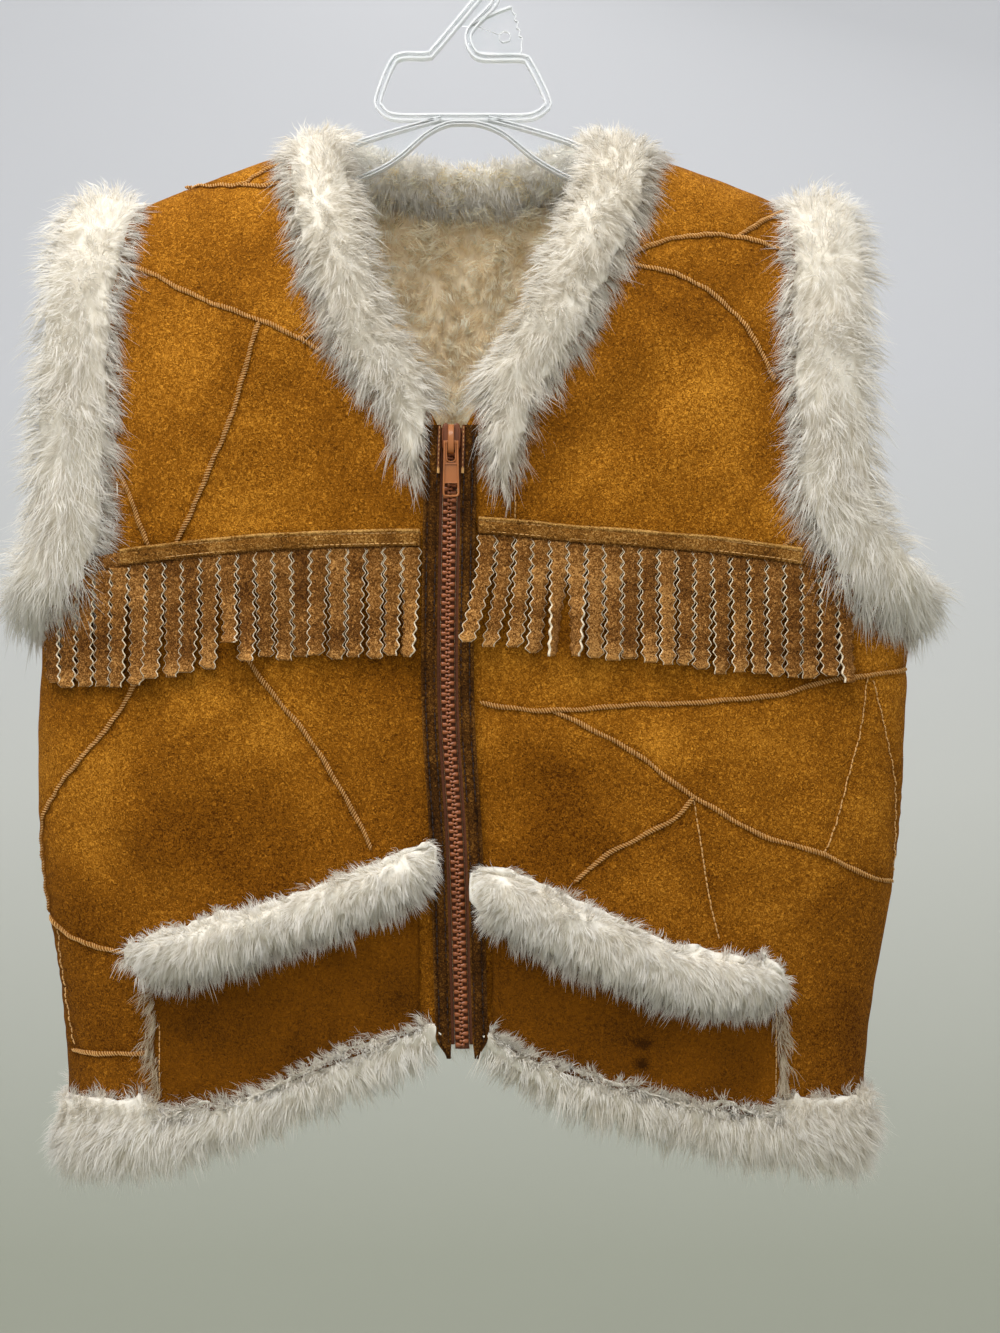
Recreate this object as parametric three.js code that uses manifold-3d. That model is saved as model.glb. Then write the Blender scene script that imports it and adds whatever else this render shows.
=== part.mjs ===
// A child's suede shearling vest, zipped up and hanging on a clear plastic hanger.
//
// Millimetres, +Z up, the front faces -Y, and left and right are those of someone who looks at the
// front. The origin is the inside of the top of the hanger's hook, where a rail holds it.
// Every wall, strip and band is worked out from one body surface: bodyDepth(x, z) says how far the
// suede stands in front of and behind the hanger's plane.

import * as THREE from 'three';
import { mergeVertices } from 'three/addons/utils/BufferGeometryUtils.js';
import Module from 'manifold-3d';

const wasm = await Module();
wasm.setup();
const { Manifold, Mesh: SolidMesh } = wasm;

// Driving dimensions
const WALL = 7;                 // shearling: suede skin with its clipped pile
const BODY_HALF_DEPTH = 48;
const SHOULDER_RUN = 150;       // below the shoulder line the body reaches its depth in this height
const SHOULDER_ROUND = 2.2;
const SIDE_ROUND = 3;           // power of the oval that every level section follows
const SHOULDER_PEAK = -104.6;   // height of the shoulder line, carried on to the middle
const SHOULDER_SLOPE = 0.0231;
const SHOULDER_POWER = 1.5;
const NECK_HALF = 62.5;         // from the middle to where the neckline meets the shoulder seam
const BACK_NECK_DROP = 9;
const SEAM_GAP = 0.3;
const LEATHER = 1.4;
const FUR_ROOM = 0.7;           // between a folded fur band and the wall inside it
const EDGE_ROOM = 2;            // beyond a wall's cut edge

const ZIP_TOP = -252;
const CHAIN_HALF = 2.9;
const PANEL_TO_ZIP = 3.5;       // from the zip's middle to the cut edge of each front
const TAPE_HALF = 10.5;
const PLACKET_INNER = 4.6;
const PLACKET_OUTER = 11.6;
const PLACKET_END = -531;

const LEFT = -1;
const RIGHT = 1;
const FRONT = -1;
const BACK = 1;

// Sides of the body at each height, from the underarm down, and carried on above it
const BODY_SIDES = [
  { z: -600, left: -182, right: 184 },
  { z: -545, left: -182.5, right: 184.5 },
  { z: -510, left: -185.5, right: 188.5 },
  { z: -480, left: -190, right: 193.5 },
  { z: -445, left: -195.5, right: 199.5 },
  { z: -400, left: -196.5, right: 202.5 },
  { z: -340, left: -194.5, right: 204.5 },
  { z: -250, left: -193, right: 203 },
  { z: -100, left: -190, right: 200 },
];

// Cut edge of the armholes, from the underarm up to the shoulder tip
const UNDERARM = -338;
const ARMHOLE = [
  { z: -338, left: -194.5, right: 204.5 },
  { z: -330, left: -183, right: 190 },
  { z: -316, left: -170, right: 172 },
  { z: -297, left: -164.5, right: 160 },
  { z: -265, left: -164, right: 154 },
  { z: -215, left: -163, right: 152.5 },
  { z: -175, left: -161.5, right: 154.5 },
  { z: -140, left: -160.5, right: 160.5 },
];

// Cut edge of the front neckline, from the top of the zip up to the shoulder seam
const NECKLINE = [
  { z: -256, left: -9.5, right: 0 },
  { z: -246, left: -15, right: 5 },
  { z: -229, left: -28, right: 15.5 },
  { z: -205, left: -40.5, right: 31 },
  { z: -178, left: -50, right: 45 },
  { z: -152, left: -57.5, right: 56 },
  { z: -114, left: -62.5, right: 62.5 },
];

// Middle of the zip: it hangs a little crooked
const ZIP_LINE = [
  { z: -540, x: 0.5 },
  { z: -523, x: -0.4 },
  { z: -440, x: -2.8 },
  { z: -374, x: -6.6 },
  { z: -300, x: -6 },
  { z: -250, x: -4.8 },
];

// Lower edge of the suede: a point at the zip, lowest at the sides
const FRONT_HEM = [
  { x: -200, z: -574 },
  { x: -160, z: -568 },
  { x: -125, z: -562 },
  { x: -100, z: -555.5 },
  { x: -50, z: -535 },
  { x: 0, z: -519 },
  { x: 25, z: -533 },
  { x: 47, z: -542 },
  { x: 79, z: -551 },
  { x: 130, z: -562 },
  { x: 205, z: -571 },
];
const BACK_HEM_MIDDLE = -528;

// Largest soft folds of the panels: a ridge of that height, or a trough if it is below zero
const FOLDS = [
  { face: FRONT, x: -120, z: -400, wide: 26, tall: 60, lean: 0.25, height: 3 },
  { face: FRONT, x: -60, z: -385, wide: 22, tall: 45, lean: -0.45, height: -2.2 },
  { face: FRONT, x: 62, z: -372, wide: 60, tall: 14, lean: -0.1, height: -2 },
  { face: FRONT, x: 128, z: -410, wide: 24, tall: 70, lean: -0.2, height: 2.8 },
  { face: FRONT, x: 70, z: -470, wide: 70, tall: 40, lean: 0, height: 3 },
  { face: FRONT, x: -75, z: -465, wide: 70, tall: 40, lean: 0, height: 3 },
  { face: FRONT, x: -105, z: -230, wide: 22, tall: 60, lean: 0.3, height: 1.8 },
  { face: FRONT, x: 105, z: -240, wide: 24, tall: 60, lean: -0.3, height: 2 },
  { face: BACK, x: -70, z: -330, wide: 28, tall: 110, lean: 0.12, height: -2.6 },
  { face: BACK, x: 82, z: -350, wide: 30, tall: 120, lean: -0.15, height: -2.8 },
  { face: BACK, x: 5, z: -260, wide: 40, tall: 80, lean: 0, height: 2.4 },
  { face: BACK, x: -10, z: -480, wide: 60, tall: 50, lean: 0, height: 2.2 },
];

const COLOURS = {
  suede: 0xb26a1c,
  fringe: 0xa86c38,
  trim: 0x5c3a12,
  fur: 0xece8dc,
  zip: 0x8c4f30,
  tape: 0x4a2412,
  clear: 0xe6ecee,
};

// Interpolation and surfaces

function along(rows, key, value, at) {
  // Smooth reading of a table whose key goes up or down steadily
  const rising = rows[rows.length - 1][key] > rows[0][key] ? 1 : -1;
  let row = 0;
  while (row < rows.length - 2 && (rows[row + 1][key] - at) * rising < 0) row += 1;
  const before = rows[Math.max(row - 1, 0)];
  const from = rows[row];
  const to = rows[row + 1];
  const after = rows[Math.min(row + 2, rows.length - 1)];
  const span = to[key] - from[key];
  const t = THREE.MathUtils.clamp((at - from[key]) / span, 0, 1);
  const leaveSlope = ((to[value] - before[value]) / (to[key] - before[key])) * span;
  const arriveSlope = ((after[value] - from[value]) / (after[key] - from[key])) * span;
  const t2 = t * t;
  const t3 = t2 * t;
  return (2 * t3 - 3 * t2 + 1) * from[value] + (t3 - 2 * t2 + t) * leaveSlope
    + (3 * t2 - 2 * t3) * to[value] + (t3 - t2) * arriveSlope;
}

const sideName = (side) => (side === LEFT ? 'left' : 'right');
const bodySide = (side, z) => along(BODY_SIDES, 'z', sideName(side), z);
const zipX = (z) => along(ZIP_LINE, 'z', 'x', z);
const shoulderLine = (x) => SHOULDER_PEAK - SHOULDER_SLOPE * Math.abs(x) ** SHOULDER_POWER;
const frontHem = (x) => along(FRONT_HEM, 'x', 'z', x);

function backHem(x) {
  const middle = (FRONT_HEM[0].z + FRONT_HEM[FRONT_HEM.length - 1].z) / 2;
  const reach = Math.min(Math.abs(x) / 195, 1);
  const side = THREE.MathUtils.lerp(middle, frontHem(x), reach);
  return THREE.MathUtils.lerp(BACK_HEM_MIDDLE, side, reach ** 1.5);
}

function backTop(x) {
  // The shoulder seams, with the back neckline dipping between them
  const share = Math.min(Math.abs(x) / NECK_HALF, 1);
  const neckPoint = shoulderLine(NECK_HALF);
  if (share >= 1) return shoulderLine(x);
  return neckPoint - BACK_NECK_DROP * Math.sqrt(1 - share * share);
}

function outerEdge(side, z) {
  // Armhole above the underarm, and side seam below it
  return z > UNDERARM ? along(ARMHOLE, 'z', sideName(side), z) : bodySide(side, z);
}

function innerEdge(side, z) {
  // Neckline above the zip, and front edge along it
  const atZip = zipX(z) + side * PANEL_TO_ZIP;
  if (z < NECKLINE[0].z) return atZip;
  const neck = along(NECKLINE, 'z', sideName(side), z);
  return side === LEFT ? Math.min(neck, atZip) : Math.max(neck, atZip);
}

function foldHeight(face, x, z) {
  let height = 0;
  for (const fold of FOLDS) {
    if (fold.face !== face) continue;
    const across = (x - fold.x - fold.lean * (z - fold.z)) / fold.wide;
    const down = (z - fold.z) / fold.tall;
    height += fold.height * Math.exp(-(across * across) - down * down);
  }
  return height;
}

function bodyDepth(face, x, z) {
  const below = THREE.MathUtils.clamp((shoulderLine(x) - z) / SHOULDER_RUN, 0, 1);
  const fall = (1 - (1 - below) ** SHOULDER_ROUND) ** (1 / SHOULDER_ROUND);
  const left = bodySide(LEFT, z);
  const right = bodySide(RIGHT, z);
  const across = Math.min(Math.abs(x - (left + right) / 2) / ((right - left) / 2), 1);
  const round = (1 - across ** SIDE_ROUND) ** (1 / SIDE_ROUND);
  return (BODY_HALF_DEPTH + foldHeight(face, x, z)) * fall * round;
}

function surfaceNormal(face, x, z) {
  const step = 0.4;
  const slopeX = (bodyDepth(face, x + step, z) - bodyDepth(face, x - step, z)) / (2 * step);
  const slopeZ = (bodyDepth(face, x, z + step) - bodyDepth(face, x, z - step)) / (2 * step);
  return new THREE.Vector3(-slopeX, face, -slopeZ).normalize();
}

function onBody(face, x, z, out = 0) {
  // A point of the suede, moved out along the surface's own direction
  const normal = surfaceNormal(face, x, z);
  return new THREE.Vector3(x, face * bodyDepth(face, x, z), z).addScaledVector(normal, out);
}

// Closed meshes from grids and sections

function meshFrom(points, triangles) {
  const geometry = new THREE.BufferGeometry();
  const positions = new Float32Array(points.length * 3);
  points.forEach((point, index) => point.toArray(positions, index * 3));
  geometry.setAttribute('position', new THREE.BufferAttribute(positions, 3));
  geometry.setIndex(triangles);
  let volume = 0;
  const cross = new THREE.Vector3();
  for (let i = 0; i < triangles.length; i += 3) {
    cross.crossVectors(points[triangles[i + 1]], points[triangles[i + 2]]);
    volume += points[triangles[i]].dot(cross);
  }
  if (volume < 0) {
    for (let i = 0; i < triangles.length; i += 3) {
      [triangles[i + 1], triangles[i + 2]] = [triangles[i + 2], triangles[i + 1]];
    }
    geometry.setIndex(triangles);
  }
  return geometry;
}

function wallBetween(outer, inner, mirrored = 0) {
  // A closed wall between two grids of points that have the same rows and columns. The cells of the
  // first mirrored columns are split along their other diagonal.
  const rows = outer.length;
  const columns = outer[0].length;
  const points = [...outer.flat(), ...inner.flat()];
  const front = (row, column) => row * columns + column;
  const rear = (row, column) => rows * columns + row * columns + column;
  const triangles = [];
  const quad = (a, b, c, d) => triangles.push(a, b, c, a, c, d);
  for (let row = 0; row < rows - 1; row += 1) {
    for (let column = 0; column < columns - 1; column += 1) {
      for (const [layer, turned] of [[front, false], [rear, true]]) {
        const corners = [
          layer(row, column),
          layer(row + 1, column),
          layer(row + 1, column + 1),
          layer(row, column + 1),
        ];
        if (column < mirrored) corners.unshift(corners.pop());
        if (turned) corners.splice(1, 3, corners[3], corners[2], corners[1]);
        quad(...corners);
      }
    }
  }
  for (let row = 0; row < rows - 1; row += 1) {
    const last = columns - 1;
    quad(front(row, 0), rear(row, 0), rear(row + 1, 0), front(row + 1, 0));
    quad(front(row, last), front(row + 1, last), rear(row + 1, last), rear(row, last));
  }
  for (let column = 0; column < columns - 1; column += 1) {
    const last = rows - 1;
    quad(front(0, column), front(0, column + 1), rear(0, column + 1), rear(0, column));
    quad(front(last, column), rear(last, column), rear(last, column + 1), front(last, column + 1));
  }
  return meshFrom(points, triangles);
}

function spreadEdges(grid, margin) {
  // The grid with its four borders moved outwards in its own surface, square to each border
  const lastRow = grid.length - 1;
  const lastColumn = grid[0].length - 1;
  const shift = (row, column, inRow, inColumn) => {
    const point = grid[row][column];
    const outwards = point.clone().sub(grid[inRow][inColumn]);
    const alongRow = inRow === row;
    const before = alongRow ? grid[Math.max(row - 1, 0)][column] : grid[row][Math.max(column - 1, 0)];
    const after = alongRow
      ? grid[Math.min(row + 1, lastRow)][column]
      : grid[row][Math.min(column + 1, lastColumn)];
    const border = after.clone().sub(before).normalize();
    outwards.addScaledVector(border, -outwards.dot(border));
    return outwards.normalize().multiplyScalar(margin);
  };
  return grid.map((line, row) => line.map((point, column) => {
    const moved = point.clone();
    if (column === 0) moved.add(shift(row, column, row, 1));
    if (column === lastColumn) moved.add(shift(row, column, row, lastColumn - 1));
    if (row === 0) moved.add(shift(row, column, 1, column));
    if (row === lastRow) moved.add(shift(row, column, lastRow - 1, column));
    return moved;
  }));
}

function panelWall(face, cells, margin, edge = margin) {
  // cells is a grid of { x, z, onSeam }: a seam point's direction has no part along Y
  const grid = (out) => cells.map((row) => row.map(({ x, z, onSeam }) => {
    const normal = surfaceNormal(face, x, z);
    const point = new THREE.Vector3(x, face * bodyDepth(face, x, z), z);
    if (onSeam) {
      point.y = face * (SEAM_GAP / 2);
      normal.y = 0;
      normal.normalize();
    } else if (Math.abs(point.y) < SEAM_GAP / 2) {
      point.y = face * (SEAM_GAP / 2);
    }
    return point.addScaledVector(normal, out);
  }));
  let outer = grid(margin);
  let inner = grid(-WALL - margin);
  if (margin > 0) {
    outer = spreadEdges(outer, edge);
    inner = spreadEdges(inner, edge);
  }
  return wallBetween(outer, inner, face === BACK ? Math.floor(cells[0].length / 2) : 0);
}

function bandSections(path, halfWide, halfThick, widthAt, sides) {
  // Rounded sections across a path, with the width along widthAt(point, t)
  const sections = [];
  const steps = path.steps;
  for (let i = 0; i <= steps; i += 1) {
    const t = i / steps;
    const centre = path.curve.getPoint(t);
    const tangent = path.curve.getTangent(t);
    const wide = widthAt(centre, t).clone();
    wide.addScaledVector(tangent, -wide.dot(tangent)).normalize();
    const thick = new THREE.Vector3().crossVectors(tangent, wide).normalize();
    const section = [];
    for (let side = 0; side < sides; side += 1) {
      const angle = (side / sides) * Math.PI * 2;
      section.push(centre.clone()
        .addScaledVector(wide, Math.cos(angle) * halfWide(t))
        .addScaledVector(thick, Math.sin(angle) * halfThick(t)));
    }
    sections.push(section);
  }
  return sections;
}

function skin(sections, closed) {
  // A closed body over a row of sections, either a ring or with two flat ends
  const sides = sections[0].length;
  const count = sections.length;
  const points = sections.flat();
  const triangles = [];
  const loops = closed ? count : count - 1;
  for (let i = 0; i < loops; i += 1) {
    const here = i * sides;
    const next = ((i + 1) % count) * sides;
    for (let side = 0; side < sides; side += 1) {
      const beside = (side + 1) % sides;
      triangles.push(here + side, here + beside, next + beside, here + side, next + beside, next + side);
    }
  }
  if (!closed) {
    const lastStart = (count - 1) * sides;
    for (let side = 1; side < sides - 1; side += 1) {
      triangles.push(0, side + 1, side, lastStart, lastStart + side, lastStart + side + 1);
    }
  }
  return meshFrom(points, triangles);
}

function toSolid(geometry) {
  const bare = geometry.clone();
  bare.deleteAttribute('normal');
  bare.deleteAttribute('uv');
  const merged = mergeVertices(bare, 1e-4);
  return new Manifold(new SolidMesh({
    numProp: 3,
    vertProperties: new Float32Array(merged.attributes.position.array),
    triVerts: new Uint32Array(merged.index.array),
  }));
}

function fromSolid(solid) {
  const mesh = solid.getMesh();
  const geometry = new THREE.BufferGeometry();
  geometry.setAttribute('position', new THREE.BufferAttribute(new Float32Array(mesh.vertProperties), 3));
  geometry.setIndex([...mesh.triVerts]);
  return geometry;
}

function largestBody(solid) {
  const bodies = solid.decompose();
  return bodies.reduce((best, body) => (body.volume() > best.volume() ? body : best));
}

function clearOf(geometry, neighbours) {
  // The piece with room for its neighbours, each given a little larger than it is
  let solid = toSolid(geometry);
  for (const neighbour of neighbours) solid = solid.subtract(toSolid(neighbour));
  return fromSolid(largestBody(solid));
}

function onFace(geometry, face) {
  // The part of a piece on one side of the shoulder and side seams
  const reach = 500;
  const half = new THREE.BoxGeometry(2 * reach, reach, 3 * reach);
  half.translate(0, face * (reach + SEAM_GAP) / 2, -reach);
  return fromSolid(largestBody(toSolid(geometry).intersect(toSolid(half))));
}

function joined(geometries) {
  return fromSolid(geometries.map(toSolid).reduce((whole, next) => whole.add(next)));
}

// Panels

function settle(edge, top, hem, fall) {
  // The point of an edge that lies at this share of the way from the top line to the hem
  let z = THREE.MathUtils.lerp(top(0), hem(0), fall);
  let x = edge(z);
  for (let i = 0; i < 12; i += 1) {
    z = THREE.MathUtils.lerp(top(x), hem(x), fall);
    x = THREE.MathUtils.lerp(x, edge(z), 0.7);
  }
  return x;
}

// Rows of a panel: shares of the way from the shoulder to the underarm, then from there to the hem
const UPPER_ROWS = [0, 0.03, 0.09, 0.18, 0.3, 0.45, 0.61, 0.76, 0.87, 0.945, 1];
const LOWER_ROWS = [0.11, 0.22, 0.33, 0.44, 0.55, 0.66, 0.77, 0.88, 1];

function rowFalls(side) {
  const x = bodySide(side, UNDERARM);
  const underarm = (UNDERARM - shoulderLine(x)) / (frontHem(x) - shoulderLine(x));
  const upper = UPPER_ROWS.map((share) => share * underarm);
  return [...upper, ...LOWER_ROWS.map((share) => THREE.MathUtils.lerp(underarm, 1, share))];
}

function frontCells(side) {
  const columns = 9;
  const cells = [];
  rowFalls(side).forEach((fall, row) => {
    const inner = settle((z) => innerEdge(side, z), shoulderLine, frontHem, fall);
    const outer = settle((z) => outerEdge(side, z), shoulderLine, frontHem, fall);
    const line = [];
    for (let column = 0; column <= columns; column += 1) {
      const share = Math.sin((column / columns) * (Math.PI / 2));
      const x = THREE.MathUtils.lerp(inner, outer, share);
      const z = THREE.MathUtils.lerp(shoulderLine(x), frontHem(x), fall);
      const atSide = column === columns && z <= UNDERARM + 3;
      line.push({ x: atSide ? bodySide(side, z) : x, z, onSeam: atSide || row === 0 });
    }
    cells.push(line);
  });
  return cells;
}

function backCells() {
  const columns = 18;
  const cells = [];
  rowFalls(LEFT).forEach((fall, row) => {
    const left = settle((z) => outerEdge(LEFT, z), backTop, backHem, fall);
    const right = settle((z) => outerEdge(RIGHT, z), backTop, backHem, fall);
    const line = [];
    for (let column = 0; column <= columns; column += 1) {
      const share = Math.sin((column / columns - 0.5) * Math.PI);
      const x = (left + right) / 2 + ((right - left) / 2) * share;
      const z = THREE.MathUtils.lerp(backTop(x), backHem(x), fall);
      const atSide = (column === 0 || column === columns) && z <= UNDERARM + 3;
      const onShoulder = row === 0 && Math.abs(x) >= NECK_HALF;
      const sideX = bodySide(column === 0 ? LEFT : RIGHT, z);
      line.push({ x: atSide ? sideX : x, z, onSeam: atSide || onShoulder });
    }
    cells.push(line);
  });
  return cells;
}

const frontPanel = (side, margin = 0, edge = margin) => panelWall(FRONT, frontCells(side), margin, edge);
const backPanel = (margin = 0, edge = margin) => panelWall(BACK, backCells(), margin, edge);

// Strips that lie on a panel

function layOn(face, lines, from, to, margin = 0) {
  // lines is a grid of { x, z, from, to }: how far out the strip starts and ends there
  const start = (cell) => (cell.from ?? from) - margin;
  const end = (cell) => (cell.to ?? to) + margin;
  let outer = lines.map((row) => row.map((cell) => onBody(face, cell.x, cell.z, end(cell))));
  let inner = lines.map((row) => row.map((cell) => onBody(face, cell.x, cell.z, start(cell))));
  if (margin > 0) {
    outer = spreadEdges(outer, margin);
    inner = spreadEdges(inner, margin);
  }
  return wallBetween(outer, inner);
}

const TAPE_FROM = 0.6;
const TAPE_TO = 1.3;
const PLACKET_FROM = TAPE_TO + SEAM_GAP;
const PLACKET_TO = PLACKET_FROM + LEATHER;
const ZIP_ROWS = 14;

function besideZip(side, inner, outer, top, bottom) {
  const lines = [];
  for (let row = 0; row <= ZIP_ROWS; row += 1) {
    const z = THREE.MathUtils.lerp(top, bottom, row / ZIP_ROWS);
    const middle = zipX(z);
    lines.push([{ x: middle + side * inner, z }, { x: middle + side * outer, z }]);
  }
  return lines;
}

const tape = (side, margin = 0) => layOn(
  FRONT,
  besideZip(side, CHAIN_HALF + SEAM_GAP, TAPE_HALF, ZIP_TOP - 6, PLACKET_END + 6),
  TAPE_FROM,
  TAPE_TO,
  margin,
);

const placket = (side, margin = 0) => layOn(
  FRONT,
  besideZip(side, PLACKET_INNER, PLACKET_OUTER, ZIP_TOP - 4, PLACKET_END),
  PLACKET_FROM,
  PLACKET_TO,
  margin,
);

const CHAIN_FROM = 0.2;
const CHAIN_TO = 3;
const CHAIN_TOP = -264.4;

function chain(margin = 0) {
  const lines = [];
  for (let row = 0; row <= ZIP_ROWS; row += 1) {
    const z = THREE.MathUtils.lerp(CHAIN_TOP, PLACKET_END + 10, row / ZIP_ROWS);
    lines.push([{ x: zipX(z) - CHAIN_HALF, z }, { x: zipX(z) + CHAIN_HALF, z }]);
  }
  return layOn(FRONT, lines, CHAIN_FROM, CHAIN_TO, margin);
}

// Fringe: one comb for each front, cut flat and then laid on the panel

const FRINGE = {
  [LEFT]: {
    from: -188,
    to: -18.6,
    strands: 21,
    tops: [
      { x: -190, z: -321 },
      { x: -160, z: -316 },
      { x: -125, z: -311.5 },
      { x: -72, z: -307.5 },
      { x: -10, z: -306 },
    ],
    tips: [
      { x: -190, z: -367 },
      { x: -150, z: -368 },
      { x: -118, z: -361 },
      { x: -84, z: -356 },
      { x: -10, z: -354.5 },
    ],
  },
  [RIGHT]: {
    from: 6.5,
    to: 173,
    strands: 21,
    tops: [
      { x: 0, z: -300 },
      { x: 56, z: -305 },
      { x: 103, z: -308.5 },
      { x: 149, z: -314 },
      { x: 178, z: -319 },
    ],
    tips: [
      { x: 0, z: -347 },
      { x: 40, z: -353.5 },
      { x: 78, z: -356.5 },
      { x: 131, z: -363 },
      { x: 178, z: -365 },
    ],
  },
};
const FRINGE_BACKING = 6.5;
const FRINGE_FROM = 0.7;
const FRINGE_TO = 2.3;
const STRAND_GAP = 1.1;

// Strands that don't hang straight: sideways swing of the tip, and how far it lifts off the panel
const STRAY_STRANDS = [
  { side: LEFT, strand: 0, swing: 1.5, lift: 1.5 },
  { side: LEFT, strand: 6, swing: -1.2, lift: 1.2 },
  { side: LEFT, strand: 10, swing: 3.5, lift: 4.5 },
  { side: LEFT, strand: 15, swing: -1.4, lift: 1.5 },
  { side: LEFT, strand: 20, swing: -1.6, lift: 2 },
  { side: RIGHT, strand: 0, swing: -9, lift: 6.5 },
  { side: RIGHT, strand: 1, swing: -7, lift: 3.4 },
  { side: RIGHT, strand: 2, swing: -4.2, lift: 1.6 },
  { side: RIGHT, strand: 3, swing: -3.2, lift: 1 },
  { side: RIGHT, strand: 4, swing: -3.6, lift: 3.5 },
  { side: RIGHT, strand: 5, swing: -1, lift: 2.5 },
  { side: RIGHT, strand: 12, swing: -1, lift: 1.4 },
  { side: RIGHT, strand: 20, swing: 0.5, lift: 1.6 },
];

function fringe(side) {
  const cut = FRINGE[side];
  const pitch = (cut.to - cut.from) / cut.strands;
  const topAt = (x) => along(cut.tops, 'x', 'z', x);
  const tipAt = (x) => along(cut.tips, 'x', 'z', x);
  const flat = [];
  const faces = [];
  const rim = { top: [], bottom: [] };
  const place = (x, z, lift = 0) => flat.push({ x, z, lift }) - 1;
  const edge = (strand) => {
    const x = cut.from + strand * pitch;
    return { top: place(x, topAt(x) + FRINGE_BACKING), root: place(x, topAt(x)) };
  };
  let before = edge(0);
  rim.top.push(before.top);
  rim.bottom.push(before.root);
  for (let strand = 0; strand < cut.strands; strand += 1) {
    const stray = STRAY_STRANDS.find((row) => row.side === side && row.strand === strand);
    const { swing, lift } = stray ?? { swing: 0, lift: 0.3 };
    const left = cut.from + strand * pitch + STRAND_GAP / 2;
    const right = left + pitch - STRAND_GAP;
    const corner = (x, share) => {
      const z = THREE.MathUtils.lerp(topAt(x), tipAt(x), share);
      return place(x + swing * share * share, z, lift * share);
    };
    const lefts = [corner(left, 0), corner(left, 0.5), corner(left, 1)];
    const rights = [corner(right, 0), corner(right, 0.5), corner(right, 1)];
    const after = edge(strand + 1);
    faces.push([before.top, before.root, lefts[0]], [before.top, lefts[0], rights[0]]);
    faces.push([before.top, rights[0], after.top], [after.top, rights[0], after.root]);
    for (const step of [0, 1]) {
      faces.push([lefts[step], lefts[step + 1], rights[step + 1]]);
      faces.push([lefts[step], rights[step + 1], rights[step]]);
    }
    rim.bottom.push(...lefts, ...rights.reverse(), after.root);
    rim.top.push(after.top);
    before = after;
  }
  const count = flat.length;
  const layer = (out) => flat.map(({ x, z, lift }) => onBody(FRONT, x, z, out + lift));
  const triangles = faces.flatMap(([a, b, c]) => [a, b, c, count + a, count + c, count + b]);
  const loop = [...rim.bottom, ...rim.top.reverse()];
  loop.forEach((here, index) => {
    const next = loop[(index + 1) % loop.length];
    triangles.push(next, here, count + here, next, count + here, count + next);
  });
  return meshFrom([...layer(FRINGE_TO), ...layer(FRINGE_FROM)], triangles);
}

function fringeRoom(side) {
  // What the fringe takes up under the armhole band
  const cut = FRINGE[side];
  const lines = [];
  for (const down of [FRINGE_BACKING + SEAM_GAP, 0, -32]) {
    const line = [];
    const steps = 18;
    for (let i = 0; i <= steps; i += 1) {
      const x = THREE.MathUtils.lerp(cut.from - SEAM_GAP, cut.to + SEAM_GAP, i / steps);
      line.push({ x, z: along(cut.tops, 'x', 'z', x) + down });
    }
    lines.push(line);
  }
  return layOn(FRONT, lines, FRINGE_FROM - 2 * SEAM_GAP, FRINGE_TO + 5 * SEAM_GAP);
}

const BINDING_FROM = FRINGE_TO + SEAM_GAP;
const BINDING = {
  [LEFT]: { from: -151, to: -18.8 },
  [RIGHT]: { from: 7, to: 149 },
};
const BINDING_TALL = 7.6;

function binding(side, margin = 0) {
  const { from, to } = BINDING[side];
  const steps = 16;
  const top = [];
  const bottom = [];
  for (let i = 0; i <= steps; i += 1) {
    const x = THREE.MathUtils.lerp(from, to, i / steps);
    const z = along(FRINGE[side].tops, 'x', 'z', x);
    top.push({ x, z: z + BINDING_TALL });
    bottom.push({ x, z: z + 0.2 });
  }
  return layOn(FRONT, [top, bottom], BINDING_FROM, BINDING_FROM + LEATHER, margin);
}

// Pockets: a patch on each front, its top edge under a fur strip

const POCKET_FROM = 0.6;
const POCKET_TO = 3.4;
const POCKETS = {
  [LEFT]: { outer: -137, inner: -19, topOuter: -487, topInner: -452 },
  [RIGHT]: { outer: 141, inner: 13, topOuter: -499, topInner: -462 },
};
const POCKET_TUCK = 4;          // the patch ends this far above the cut edge of the hem

function pocket(side, margin = 0) {
  const cut = POCKETS[side];
  const columns = 10;
  const rows = 5;
  const lines = [];
  for (let row = 0; row <= rows; row += 1) {
    const line = [];
    for (let column = 0; column <= columns; column += 1) {
      const share = column / columns;
      const x = THREE.MathUtils.lerp(cut.outer, cut.inner, share);
      const top = THREE.MathUtils.lerp(cut.topOuter, cut.topInner, share);
      line.push({ x, z: THREE.MathUtils.lerp(top, frontHem(x) + POCKET_TUCK, row / rows) });
    }
    lines.push(line);
  }
  return layOn(FRONT, lines, POCKET_FROM, POCKET_TO, margin);
}

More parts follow.
